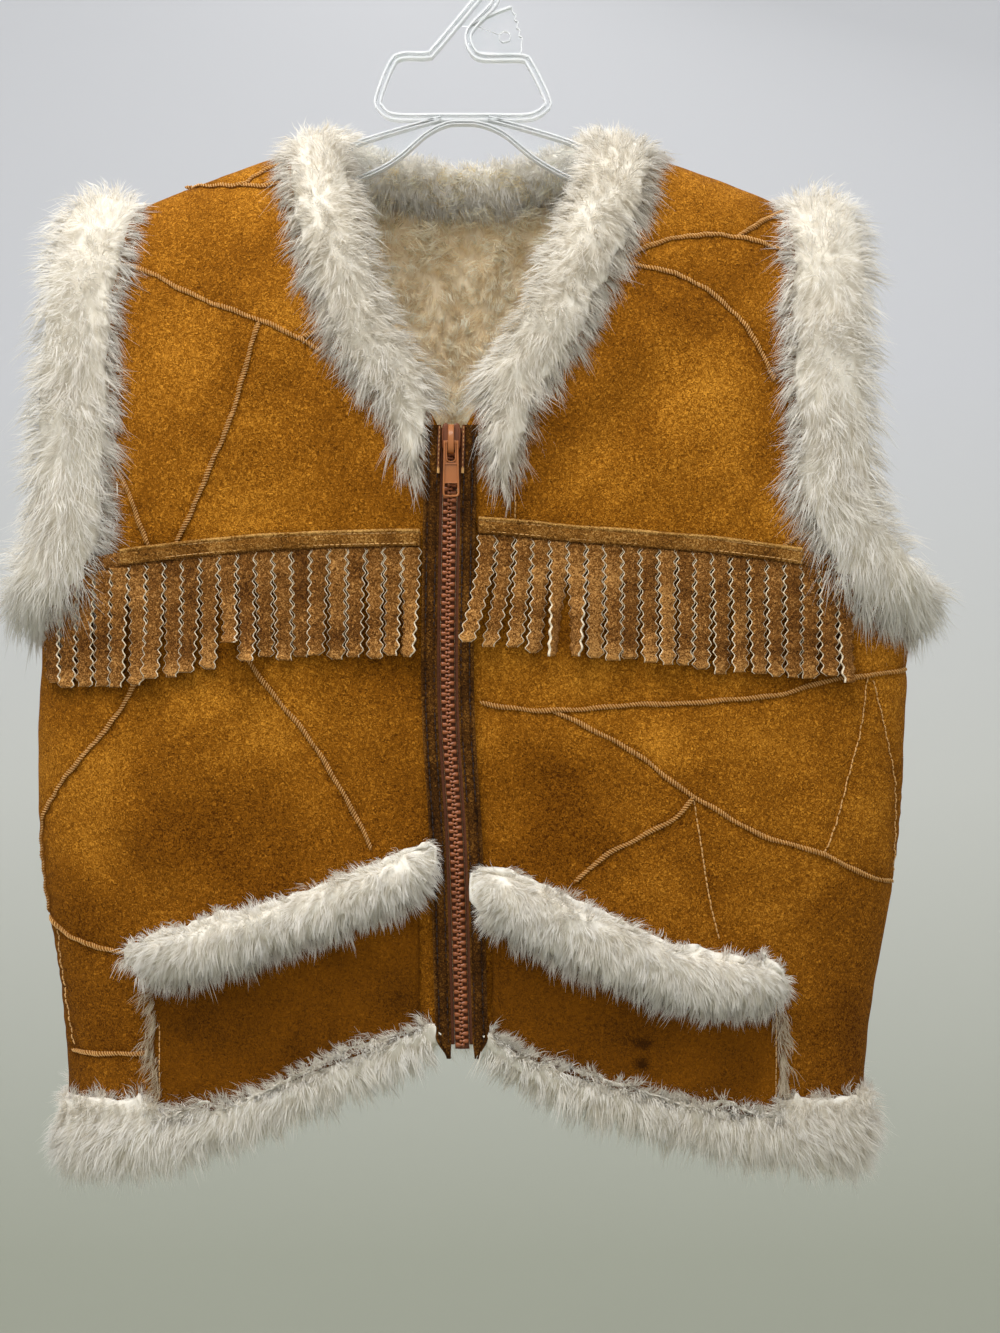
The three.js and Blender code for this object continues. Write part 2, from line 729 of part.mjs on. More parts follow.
// Fur strips on the pockets: middle line, half height and how far the pile stands out
const POCKET_FUR = {
  [LEFT]: [
    { x: -151, z: -489, tall: 7, pile: 7 },
    { x: -141, z: -489, tall: 15, pile: 12 },
    { x: -124, z: -487, tall: 19, pile: 16 },
    { x: -98, z: -479.5, tall: 18.5, pile: 17 },
    { x: -74, z: -472, tall: 18, pile: 17 },
    { x: -52, z: -463.5, tall: 18, pile: 17 },
    { x: -28, z: -453, tall: 19, pile: 16 },
    { x: -13, z: -446, tall: 17, pile: 13 },
    { x: -5.5, z: -444, tall: 9, pile: 8 },
  ],
  [RIGHT]: [
    { x: -3, z: -459, tall: 9, pile: 8 },
    { x: 5, z: -459.5, tall: 18, pile: 13 },
    { x: 18, z: -462, tall: 21, pile: 16 },
    { x: 34, z: -470, tall: 21.5, pile: 17 },
    { x: 55, z: -480.5, tall: 21.5, pile: 17 },
    { x: 82, z: -492, tall: 21, pile: 17 },
    { x: 104, z: -500, tall: 20.5, pile: 17 },
    { x: 126, z: -501, tall: 18.5, pile: 16 },
    { x: 138, z: -500, tall: 15, pile: 12 },
    { x: 146, z: -499, tall: 7, pile: 7 },
  ],
};

function pocketFur(side) {
  const rows = POCKET_FUR[side];
  const seat = POCKET_TO + SEAM_GAP + 0.2;
  const steps = 16;
  const sections = [];
  for (let i = 0; i <= steps; i += 1) {
    const x = THREE.MathUtils.lerp(rows[0].x, rows[rows.length - 1].x, i / steps);
    const z = along(rows, 'x', 'z', x);
    const tall = along(rows, 'x', 'tall', x);
    const pile = along(rows, 'x', 'pile', x);
    const section = [];
    const dome = 6;
    for (let k = 0; k <= dome; k += 1) {
      const angle = (k / dome) * Math.PI;
      section.push(onBody(FRONT, x, z + tall * Math.cos(angle), seat + pile * Math.sin(angle) ** 0.8));
    }
    for (const share of [-0.5, 0, 0.5]) {
      section.push(onBody(FRONT, x, z + tall * share, seat));
    }
    sections.push(section);
  }
  return skin(sections, false);
}

// Fur bands folded over the cut edges

function curveThrough(points, steps, closed = false) {
  return { curve: new THREE.CatmullRomCurve3(points, closed, 'centripetal'), steps };
}

// Middle of the collar's front bands, from the shoulder to the tip beside the zip
const COLLAR = {
  [LEFT]: [
    { x: -68, z: -121, wide: 17.5, thick: 13, out: -1 },
    { x: -62.5, z: -150, wide: 18, thick: 12.5, out: -1 },
    { x: -54.5, z: -180, wide: 17.5, thick: 12, out: -0.5 },
    { x: -45, z: -206, wide: 16.5, thick: 11.5, out: 0 },
    { x: -35, z: -223, wide: 16.5, thick: 11, out: 0.5 },
    { x: -27.5, z: -235, wide: 16.5, thick: 10, out: 1 },
    { x: -24.5, z: -249, wide: 10.5, thick: 8, out: 4 },
    { x: -22, z: -264, wide: 6.5, thick: 5.5, out: 7.5 },
    { x: -19.5, z: -276, wide: 2.5, thick: 2.5, out: 6.5 },
  ],
  [RIGHT]: [
    { x: 73, z: -121, wide: 19, thick: 13, out: -1 },
    { x: 65.5, z: -148, wide: 19.5, thick: 12.5, out: -1 },
    { x: 52, z: -178, wide: 18.5, thick: 12, out: -0.5 },
    { x: 42, z: -200, wide: 17.5, thick: 11.5, out: 0 },
    { x: 32, z: -217, wide: 16.5, thick: 11, out: 0.5 },
    { x: 22, z: -235, wide: 16, thick: 10, out: 1 },
    { x: 20.5, z: -249, wide: 12, thick: 8.5, out: 4 },
    { x: 19, z: -263, wide: 8, thick: 6, out: 8 },
    { x: 18, z: -281, wide: 2.5, thick: 2.5, out: 6.5 },
  ],
};
const FUR_SIDES = 10;

// The same band round the back of the neck: share of the way from its middle to the shoulder seam
const COLLAR_BACK = [-0.93, -0.75, -0.4, 0, 0.4, 0.75, 0.93];
const COLLAR_BACK_SIZE = { wide: 12.5, thick: 10.5 };
const COLLAR_STEPS = 52;

function collarStations() {
  // Stations from one tip over the shoulder and round the back of the neck to the other tip, each
  // with its middle, its size and the direction of its width: away from the neck, in the suede
  const front = (side) => COLLAR[side].map(({ x, z, wide, thick, out }) => {
    const low = THREE.MathUtils.clamp((-z - 121) / 60, 0, 1);
    const across = new THREE.Vector3(side, 0, THREE.MathUtils.lerp(-0.3, 0.35, low));
    return { middle: onBody(FRONT, x, z, out - WALL / 2), wide, thick, across };
  });
  const seam = (side) => {
    const { x, wide, thick } = COLLAR[side][0];
    const middle = new THREE.Vector3(x, 0, shoulderLine(x) - WALL / 2 + 2);
    return { middle, wide, thick, across: new THREE.Vector3(side, 0, -0.3) };
  };
  const back = COLLAR_BACK.map((share) => {
    const side = share < 0 ? LEFT : RIGHT;
    const end = COLLAR[side][0];
    const round = 1 - share * share;
    const x = side * share * end.x;
    const rim = backTop(side * Math.min(Math.abs(x), NECK_HALF)) - WALL / 2;
    const deep = bodyDepth(BACK, 0, backTop(0) - 3) - WALL / 2;
    return {
      middle: new THREE.Vector3(x, Math.sqrt(round) * deep, rim + 2 * (1 - round)),
      wide: THREE.MathUtils.lerp(end.wide, COLLAR_BACK_SIZE.wide, round),
      thick: THREE.MathUtils.lerp(end.thick, COLLAR_BACK_SIZE.thick, round),
      across: new THREE.Vector3(share, 0.5 * round, -0.3 - 0.57 * round),
    };
  });
  const down = (side) => front(side).slice(1);
  return [...down(LEFT).reverse(), seam(LEFT), ...back, seam(RIGHT), ...down(RIGHT)];
}

function collar() {
  const stations = collarStations();
  const path = curveThrough(stations.map(({ middle }) => middle), COLLAR_STEPS);
  const read = (t, value) => {
    const place = t * (stations.length - 1);
    const index = Math.min(Math.floor(place), stations.length - 2);
    return value(stations[index], stations[index + 1], place - index);
  };
  const size = (name) => (t) => read(t, (a, b, share) => THREE.MathUtils.lerp(a[name], b[name], share));
  const across = (point, t) => read(t, (a, b, share) => a.across.clone().lerp(b.across, share));
  return skin(bandSections(path, size('wide'), size('thick'), across, FUR_SIDES), false);
}

function collarPiece(side) {
  // The front half of the band, on one side of the zip
  const half = new THREE.BoxGeometry(300, 300, 600);
  half.translate(side * 150 + zipX(ZIP_TOP), -150 - SEAM_GAP / 2, -300);
  return fromSolid(largestBody(toSolid(collar()).intersect(toSolid(half))));
}

const ARMHOLE_FUR_REACH = 11;   // the band's middle lies this far outside the cut edge
const ARMHOLE_FUR_WIDE = 22;
const ARMHOLE_FUR_THICK = 12.5;

function armholeFur(side) {
  const heights = [-152, -176, -205, -240, -275, -302, -322];
  const centre = (face, z) => {
    const x = outerEdge(side, z);
    const y = face * Math.max(bodyDepth(face, x, z) - WALL / 2, 0);
    const reach = z > -160 ? 4 : ARMHOLE_FUR_REACH;
    return new THREE.Vector3(x + side * reach, y, z);
  };
  const tip = outerEdge(side, -150);
  const top = new THREE.Vector3(tip + side * 5, 0, shoulderLine(tip) + 4.5);
  const under = bodySide(side, UNDERARM);
  const bottom = new THREE.Vector3(under - side * 3, 0, UNDERARM + 8);
  const frontPoints = heights.slice(1).map((z) => centre(FRONT, z));
  const backPoints = heights.slice(1).map((z) => centre(BACK, z)).reverse();
  const path = curveThrough([top, ...frontPoints, bottom, ...backPoints], 26, true);
  const wide = () => ARMHOLE_FUR_WIDE;
  const thick = () => ARMHOLE_FUR_THICK;
  const widthAt = () => new THREE.Vector3(side, 0, 0);
  const sections = bandSections(path, wide, thick, widthAt, FUR_SIDES);
  return skin(sections.slice(0, -1), true);
}

// Hem band: half height along the front, from the zip out to the side
const HEM_FUR_TALL = [
  { x: -190, tall: 20 },
  { x: -150, tall: 20.5 },
  { x: -100, tall: 15 },
  { x: -50, tall: 14 },
  { x: -12, tall: 13.5 },
  { x: 12, tall: 12.5 },
  { x: 50, tall: 13.5 },
  { x: 100, tall: 15.5 },
  { x: 150, tall: 20 },
  { x: 190, tall: 21 },
];
const HEM_FUR_THICK = 13;
const HEM_FUR_END = 6;          // from the zip's middle to the end of each front band

function hemFront(side) {
  const steps = 9;
  const centres = [];
  const start = side * HEM_FUR_END;
  for (let i = 0; i <= steps; i += 1) {
    const share = Math.sin((i / steps) * (Math.PI / 2));
    const side0 = bodySide(side, -570);
    const x = THREE.MathUtils.lerp(start, side0 - side * WALL * 0.5, share);
    const z = frontHem(x);
    const y = i === steps ? -SEAM_GAP / 2 : -Math.max(bodyDepth(FRONT, x, z) - WALL / 2, 4);
    centres.push(new THREE.Vector3(x, y, z));
  }
  const path = curveThrough(centres, 15);
  const tall = (t) => along(HEM_FUR_TALL, 'x', 'tall', path.curve.getPoint(t).x) * Math.min(0.7 + t * 3, 1);
  const thick = (t) => HEM_FUR_THICK * Math.min(0.7 + t * 3, 1);
  return skin(bandSections(path, tall, thick, () => new THREE.Vector3(0, 0, 1), FUR_SIDES), false);
}

function hemBack() {
  const steps = 20;
  const centres = [];
  for (let i = 0; i <= steps; i += 1) {
    const share = Math.sin((i / steps - 0.5) * Math.PI);
    const left = bodySide(LEFT, -570) + WALL / 2;
    const right = bodySide(RIGHT, -570) - WALL / 2;
    const x = (left + right) / 2 + ((right - left) / 2) * share;
    const z = backHem(x);
    const atEnd = i === 0 || i === steps;
    const y = atEnd ? SEAM_GAP / 2 : Math.max(bodyDepth(BACK, x, z) - WALL / 2, 4);
    centres.push(new THREE.Vector3(x, y, z));
  }
  const path = curveThrough(centres, 26);
  const tall = (t) => THREE.MathUtils.lerp(14.5, 20, Math.abs(2 * t - 1) ** 2);
  const thick = () => HEM_FUR_THICK;
  return skin(bandSections(path, tall, thick, () => new THREE.Vector3(0, 0, 1), FUR_SIDES), false);
}

// Zip slider and pull tab, in front of the body's flat middle

const SLIDER = { half: 4.2, top: ZIP_TOP, bottom: -264, back: TAPE_TO + SEAM_GAP, face: 4.2 };
const PULL_AXIS = { z: -261.1, out: 6.3 };
const PULL = { half: 3.7, thick: 1.6, top: 0.8, length: 24.6, slot: 7.4, slotHalf: 1.6 };
const LUG = { half: 1, leg: 1.5, clear: 1.3, crown: 1.3 };

function block(xs, outs, zs) {
  // A box between two places across, two distances out of the suede and two heights
  const geometry = new THREE.BoxGeometry(xs[1] - xs[0], outs[1] - outs[0], zs[1] - zs[0]);
  const y = -BODY_HALF_DEPTH - (outs[0] + outs[1]) / 2;
  geometry.translate((xs[0] + xs[1]) / 2, y, (zs[0] + zs[1]) / 2);
  return geometry;
}

function plateShape(outline, out, thick, bevel = 0) {
  // A plate cut to an outline in the plane of the zip, at that distance out of the suede
  const geometry = new THREE.ExtrudeGeometry(outline, {
    depth: thick - 2 * bevel,
    bevelEnabled: bevel > 0,
    bevelThickness: bevel,
    bevelSize: bevel,
    bevelOffset: -bevel,
    bevelSegments: 1,
    curveSegments: 5,
  });
  geometry.rotateX(Math.PI / 2);
  geometry.translate(0, -BODY_HALF_DEPTH - out - bevel, 0);
  return geometry;
}

function slider() {
  const x = zipX(PULL_AXIS.z);
  const { half, top, bottom, back, face } = SLIDER;
  const outline = new THREE.Shape();
  outline.moveTo(x - half * 0.72, top);
  outline.lineTo(x + half * 0.72, top);
  outline.lineTo(x + half, top - 3);
  outline.lineTo(x + half, bottom + 1.5);
  outline.lineTo(x + half * 0.8, bottom);
  outline.lineTo(x - half * 0.8, bottom);
  outline.lineTo(x - half, bottom + 1.5);
  outline.lineTo(x - half, top - 3);
  outline.closePath();
  const plate = plateShape(outline, back, face - back, 0.4);
  const across = [x - LUG.half, x + LUG.half];
  const crownFrom = PULL_AXIS.out + LUG.clear;
  const crown = [crownFrom, crownFrom + LUG.crown];
  const reach = LUG.clear + LUG.leg;
  const upper = [PULL_AXIS.z + LUG.clear, PULL_AXIS.z + reach];
  const lower = [PULL_AXIS.z - reach, PULL_AXIS.z - LUG.clear];
  return joined([
    plate,
    block(across, [face - 0.5, crown[1]], upper),
    block(across, [face - 0.5, crown[1]], lower),
    block(across, crown, [lower[0], upper[1]]),
  ]);
}

function pullTab() {
  const x = zipX(PULL_AXIS.z);
  const { half, thick, top, length, slot, slotHalf } = PULL;
  const high = PULL_AXIS.z + top;
  const low = high - length;
  const corner = 1.2;
  const outline = new THREE.Shape();
  outline.moveTo(x - half + corner, high);
  outline.lineTo(x + half - corner, high);
  outline.quadraticCurveTo(x + half, high, x + half, high - corner);
  outline.lineTo(x + half, low + corner);
  outline.quadraticCurveTo(x + half, low, x + half - corner, low);
  outline.lineTo(x - half + corner, low);
  outline.quadraticCurveTo(x - half, low, x - half, low + corner);
  outline.lineTo(x - half, high - corner);
  outline.quadraticCurveTo(x - half, high, x - half + corner, high);
  const window = (halfWide, from, to) => {
    const hole = new THREE.Path();
    hole.moveTo(x - halfWide, from);
    hole.lineTo(x - halfWide, to);
    hole.lineTo(x + halfWide, to);
    hole.lineTo(x + halfWide, from);
    hole.closePath();
    return hole;
  };
  const slotFrom = high - 2 * top;
  outline.holes.push(window(slotHalf, slotFrom, slotFrom - slot));
  outline.holes.push(window(half - 2, low + 6.4, low + 2));
  return plateShape(outline, PULL_AXIS.out - thick / 2, thick);
}

// Hanger: flat bars of a flanged section, moulded in one

const HOOK = { inner: 19, bar: 6, deep: 5.5, from: -52, to: 205 };
const BAR = { wide: 3.4, deep: 5 };

function flatBar(points, wide, deep) {
  // A bar of rectangular section along a line of { x, z } points in the hanger's plane
  const shape = new THREE.Shape();
  const offsets = points.map((point, index) => {
    const before = points[Math.max(index - 1, 0)];
    const after = points[Math.min(index + 1, points.length - 1)];
    const direction = new THREE.Vector2(after.x - before.x, after.z - before.z).normalize();
    return new THREE.Vector2(-direction.y, direction.x).multiplyScalar(wide / 2);
  });
  points.forEach((point, index) => {
    const x = point.x + offsets[index].x;
    const z = point.z + offsets[index].y;
    if (index === 0) shape.moveTo(x, z);
    else shape.lineTo(x, z);
  });
  [...points].reverse().forEach((point, index) => {
    const offset = offsets[points.length - 1 - index];
    shape.lineTo(point.x - offset.x, point.z - offset.y);
  });
  shape.closePath();
  const geometry = new THREE.ExtrudeGeometry(shape, { depth: deep, bevelEnabled: false });
  geometry.rotateX(Math.PI / 2);
  geometry.translate(0, deep / 2, 0);
  return geometry;
}

function arc(centreX, centreZ, radius, fromDegrees, toDegrees, steps) {
  const points = [];
  for (let i = 0; i <= steps; i += 1) {
    const angle = THREE.MathUtils.degToRad(THREE.MathUtils.lerp(fromDegrees, toDegrees, i / steps));
    points.push({ x: centreX + radius * Math.cos(angle), z: centreZ + radius * Math.sin(angle) });
  }
  return points;
}

const NECK_FRAME = [
  { x: -11, z: -69.5 },
  { x: -17, z: -74.5 },
  { x: -27, z: -76 },
  { x: -32.5, z: -79 },
  { x: -36, z: -84 },
  { x: -40, z: -96 },
  { x: -38, z: -102 },
  { x: -31, z: -105.5 },
  { x: 30, z: -105.5 },
  { x: 36.5, z: -102 },
  { x: 39, z: -96 },
  { x: 34.5, z: -84 },
  { x: 31, z: -79.5 },
  { x: 26, z: -76.5 },
  { x: 5, z: -74.5 },
];
const ARM_START = { x: 12, z: -108 };
const ARM_LEVEL = 56;                // from here outwards the arm follows the shoulder line
const ARM_END = 137;
const ARM_UNDER_SEAM = WALL + 1.5;   // below the shoulder line: the wall, and its curve over the arm
const ARM_TALL = 11;
const ARM_FLANGE = 2.2;
const ARM_WEB = 1.6;
const SIZER_THICK = 1.8;
const SIZER_HOLE = { x: 18.5, z: -66.5, radius: 2, sides: 8 };
const SIZER = [
  { x: 8, z: -60 },
  { x: 22, z: -53.5 },
  { x: 27, z: -70 },
  { x: 15, z: -74.5 },
  { x: 4, z: -72 },
];
const STEM = [{ x: 8, z: -55 }, { x: -2.5, z: -72 }];
const STEM_FOOT = [{ x: -13, z: -72 }, { x: 7, z: -74.6 }];

function hangerArm(side, margin) {
  const upper = [];
  const lower = [];
  const steps = 8;
  for (let i = 0; i <= steps; i += 1) {
    const x = side * THREE.MathUtils.lerp(ARM_START.x, ARM_END, i / steps);
    const seat = shoulderLine(x) - ARM_UNDER_SEAM - BAR.wide / 2;
    const share = THREE.MathUtils.smoothstep(Math.abs(x), ARM_START.x, ARM_LEVEL);
    const z = THREE.MathUtils.lerp(ARM_START.z, seat, share);
    const taper = 1 - 0.35 * (i / steps);
    upper.push({ x, z });
    lower.push({ x, z: z - THREE.MathUtils.lerp(3, ARM_TALL, share) * taper });
  }
  const web = upper.map((point, index) => ({ x: point.x, z: (point.z + lower[index].z) / 2 }));
  const end = [upper[steps], lower[steps]];
  const room = 2 * margin;
  return [
    flatBar(upper, ARM_FLANGE + room, BAR.deep + room),
    flatBar(lower, ARM_FLANGE + room, BAR.deep + room),
    flatBar(web, ARM_TALL * 0.7 + room, ARM_WEB + room),
    flatBar(end, ARM_FLANGE + room, BAR.deep + room),
  ];
}

function sizerTab() {
  const flat = ({ x, z }) => new THREE.Vector2(x, z);
  const { x, z, radius, sides } = SIZER_HOLE;
  const outline = new THREE.Shape(SIZER.map(flat));
  outline.holes.push(new THREE.Path(arc(x, z, radius, 0, 360 - 360 / sides, sides - 1).map(flat)));
  const tab = new THREE.ExtrudeGeometry(outline, { depth: SIZER_THICK, bevelEnabled: false });
  tab.rotateX(Math.PI / 2);
  tab.translate(0, SIZER_THICK / 2, 0);
  return tab;
}

function hanger() {
  const hookRadius = HOOK.inner + HOOK.bar / 2;
  const hookArc = arc(0, -HOOK.inner, hookRadius, HOOK.from, HOOK.to, 16).reverse();
  return joined([
    flatBar([...hookArc, ...STEM], HOOK.bar, HOOK.deep),
    flatBar(NECK_FRAME, BAR.wide, BAR.deep),
    flatBar(STEM_FOOT, BAR.deep, BAR.deep),
    sizerTab(),
    ...hangerArm(LEFT, 0),
    ...hangerArm(RIGHT, 0),
  ]);
}

// The vest

const vest = new THREE.Group();

function add(name, geometry, color, roughness = 0.9, metalness = 0) {
  const material = new THREE.MeshStandardMaterial({ color, roughness, metalness });
  const mesh = new THREE.Mesh(geometry, material);
  mesh.name = name;
  vest.add(mesh);
}

const panels = [
  (...room) => frontPanel(LEFT, ...room),
  (...room) => frontPanel(RIGHT, ...room),
  backPanel,
];
const wideWalls = panels.map((panel) => panel(FUR_ROOM, EDGE_ROOM));
const closeWalls = panels.map((panel) => panel(SEAM_GAP));
const walls = [...wideWalls, ...closeWalls];

const arms = [...hangerArm(LEFT, SEAM_GAP), ...hangerArm(RIGHT, SEAM_GAP)];

function zipBits(side) {
  return [placket(side, SEAM_GAP), tape(side, SEAM_GAP), chain(SEAM_GAP)];
}

add('back', backPanel(), COLOURS.suede);
add('collar_fur_back', clearOf(onFace(collar(), BACK), [...walls, ...arms]), COLOURS.fur);
add('hem_fur_back', clearOf(onFace(hemBack(), BACK), wideWalls), COLOURS.fur);
add('zip_chain', chain(), COLOURS.zip, 0.5);
add('zip_slider', slider(), COLOURS.zip, 0.5);
add('zip_pull', pullTab(), COLOURS.zip, 0.5);
for (const side of [LEFT, RIGHT]) {
  const name = sideName(side);
  const hem = onFace(hemFront(side), FRONT);
  const hemRoom = [...wideWalls, ...zipBits(side), pocket(side, SEAM_GAP)];
  const collarRoom = [...wideWalls, ...arms, ...zipBits(side)];
  const armholeRoom = [...walls, fringeRoom(side)];
  add(`front_${name}`, frontPanel(side), COLOURS.suede);
  add(`zip_tape_${name}`, tape(side), COLOURS.tape);
  add(`placket_${name}`, placket(side), COLOURS.trim);
  add(`fringe_${name}`, fringe(side), COLOURS.fringe);
  add(`binding_${name}`, binding(side), COLOURS.fringe);
  add(`pocket_${name}`, pocket(side), COLOURS.suede);
  add(`pocket_fur_${name}`, pocketFur(side), COLOURS.fur);
  add(`collar_fur_${name}`, clearOf(collarPiece(side), collarRoom), COLOURS.fur);
  add(`armhole_fur_${name}`, clearOf(armholeFur(side), armholeRoom), COLOURS.fur);
  add(`hem_fur_${name}`, clearOf(hem, hemRoom), COLOURS.fur);
}
add('hanger', hanger(), COLOURS.clear, 0.15);

export default vest;
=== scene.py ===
# A child's suede shearling vest on a clear hanger: its cloth, sewing, fringe, zip teeth and fur.
#
# Tables are in millimetres, or in pixels of the 1000 x 1333 photograph where a name says so.
# Meshes are in metres, in the frame's own axes: +Z up, the front faces -Y.
import math

import bmesh
import bpy
import numpy as np
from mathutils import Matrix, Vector
from mathutils.bvhtree import BVHTree
from mathutils.kdtree import KDTree


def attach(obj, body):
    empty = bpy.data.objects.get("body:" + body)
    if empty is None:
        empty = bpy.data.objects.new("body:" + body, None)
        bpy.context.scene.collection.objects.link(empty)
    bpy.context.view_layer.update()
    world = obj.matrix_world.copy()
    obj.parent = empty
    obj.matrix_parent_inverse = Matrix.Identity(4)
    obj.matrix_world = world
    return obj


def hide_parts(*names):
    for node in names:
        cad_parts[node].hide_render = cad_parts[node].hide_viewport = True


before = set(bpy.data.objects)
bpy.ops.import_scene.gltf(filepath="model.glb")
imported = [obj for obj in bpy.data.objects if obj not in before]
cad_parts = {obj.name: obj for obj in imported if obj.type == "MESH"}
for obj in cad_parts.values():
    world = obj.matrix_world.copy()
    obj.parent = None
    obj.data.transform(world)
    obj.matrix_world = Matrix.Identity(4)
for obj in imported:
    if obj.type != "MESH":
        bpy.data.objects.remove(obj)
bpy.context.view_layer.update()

MM = 0.001
LEFT, RIGHT = -1, 1
FRONT, BACK = -1, 1
SIDES = {LEFT: "left", RIGHT: "right"}
VEST = "vest"

# Sizes of the cloth, as the part has them
WALL = 7.0
HALF_DEPTH = 48.0
SHOULDER_RUN = 150.0
SHOULDER_ROUND = 2.2
SIDE_ROUND = 3.0
SHOULDER_PEAK = -104.6
SHOULDER_SLOPE = 0.0231
SHOULDER_POWER = 1.5
NECK_HALF = 62.5
BACK_NECK_DROP = 9.0
SEAM_GAP = 0.3
UNDERARM = -338.0
SIDE_SEAM_TOP = UNDERARM + 3
PILE_BASE = WALL - 0.4            # from the suede's outside in to the clipped pile's mean level
HEM_HALF = 195.0                  # from the middle to where the back's hem meets the front's
BACK_HEM_MIDDLE = -528.0
PANEL_TO_ZIP = 3.5
ZIP_TOP = -252.0

BODY_SIDES = {
    "z": [-600, -545, -510, -480, -445, -400, -340, -250, -100],
    "left": [-182, -182.5, -185.5, -190, -195.5, -196.5, -194.5, -193, -190],
    "right": [184, 184.5, 188.5, 193.5, 199.5, 202.5, 204.5, 203, 200],
}
ARMHOLE = {
    "z": [-338, -330, -316, -297, -265, -215, -175, -140],
    "left": [-194.5, -183, -170, -164.5, -164, -163, -161.5, -160.5],
    "right": [204.5, 190, 172, 160, 154, 152.5, 154.5, 160.5],
}
NECKLINE = {
    "z": [-256, -246, -229, -205, -178, -152, -114],
    "left": [-9.5, -15, -28, -40.5, -50, -57.5, -62.5],
    "right": [0, 5, 15.5, 31, 45, 56, 62.5],
}
ZIP_LINE = {
    "z": [-540, -523, -440, -374, -300, -250],
    "x": [0.5, -0.4, -2.8, -6.6, -6, -4.8],
}
FRONT_HEM = {
    "x": [-200, -160, -125, -100, -50, 0, 25, 47, 79, 130, 205],
    "z": [-574, -568, -562, -555.5, -535, -519, -533, -542, -551, -562, -571],
}
# Largest soft folds: face, place, spread across and down, lean, height
FOLDS = [
    (FRONT, -120, -400, 26, 60, 0.25, 3),
    (FRONT, -60, -385, 22, 45, -0.45, -2.2),
    (FRONT, 62, -372, 60, 14, -0.1, -2),
    (FRONT, 128, -410, 24, 70, -0.2, 2.8),
    (FRONT, 70, -470, 70, 40, 0, 3),
    (FRONT, -75, -465, 70, 40, 0, 3),
    (FRONT, -105, -230, 22, 60, 0.3, 1.8),
    (FRONT, 105, -240, 24, 60, -0.3, 2),
    (BACK, -70, -330, 28, 110, 0.12, -2.6),
    (BACK, 82, -350, 30, 120, -0.15, -2.8),
    (BACK, 5, -260, 40, 80, 0, 2.4),
    (BACK, -10, -480, 60, 50, 0, 2.2),
]

# The photograph's camera, level and in front of the vest
PHOTO_WIDE, PHOTO_TALL = 1000, 1333
PHOTO_MIDDLE_X, PHOTO_MIDDLE_Z = 16.3, -359.0
PIXEL = 0.44                      # millimetres on the vest's front plane
CAMERA_TO_FRONT = 850.0
SENSOR = 36.0
INSIDE_SIDES = 0.992              # places read off the photograph stay a little inside the side seams


# Reading of tables, and the surface of the suede


def lerp(a, b, t):
    return a + (b - a) * t


def smooth(low, high, value):
    t = np.clip((value - low) / (high - low), 0, 1)
    return t * t * (3 - 2 * t)


def hump(value, middle, spread):
    """A soft hump of height 1 around the middle."""
    return np.exp(-(((value - middle) / spread) ** 2))


def along(table, key, value, at):
    """Smooth reading of one column of a table against another that goes up or down steadily."""
    keys, values = np.array(table[key], float), np.array(table[value], float)
    if keys[0] > keys[-1]:
        keys, values = keys[::-1], values[::-1]
    at = np.clip(np.asarray(at, float), keys[0], keys[-1])
    row = np.clip(np.searchsorted(keys, at) - 1, 0, len(keys) - 2)
    before, after = np.maximum(row - 1, 0), np.minimum(row + 2, len(keys) - 1)
    span = keys[row + 1] - keys[row]
    t = (at - keys[row]) / span
    leave = (values[row + 1] - values[before]) / (keys[row + 1] - keys[before]) * span
    arrive = (values[after] - values[row]) / (keys[after] - keys[row]) * span
    t2, t3 = t * t, t * t * t
    return (
        (2 * t3 - 3 * t2 + 1) * values[row]
        + (t3 - 2 * t2 + t) * leave
        + (3 * t2 - 2 * t3) * values[row + 1]
        + (t3 - t2) * arrive
    )


def body_side(side, z):
    return along(BODY_SIDES, "z", SIDES[side], z)


def zip_x(z):
    return along(ZIP_LINE, "z", "x", z)


def shoulder_line(x):
    return SHOULDER_PEAK - SHOULDER_SLOPE * np.abs(x) ** SHOULDER_POWER


def front_hem(x):
    return along(FRONT_HEM, "x", "z", x)


def back_hem(x):
    middle = (FRONT_HEM["z"][0] + FRONT_HEM["z"][-1]) / 2
    reach = np.minimum(np.abs(x) / HEM_HALF, 1)
    return lerp(BACK_HEM_MIDDLE, lerp(middle, front_hem(x), reach), reach**1.5)


def back_top(x):
    share = np.minimum(np.abs(x) / NECK_HALF, 1)
    neck = shoulder_line(NECK_HALF) - BACK_NECK_DROP * np.sqrt(1 - share * share)
    return np.where(share >= 1, shoulder_line(x), neck)


def outer_edge(side, z):
    return np.where(z > UNDERARM, along(ARMHOLE, "z", SIDES[side], z), body_side(side, z))


def inner_edge(side, z):
    at_zip = zip_x(z) + side * PANEL_TO_ZIP
    neck = along(NECKLINE, "z", SIDES[side], z)
    apart = np.minimum(neck, at_zip) if side == LEFT else np.maximum(neck, at_zip)
    return np.where(z < NECKLINE["z"][0], at_zip, apart)


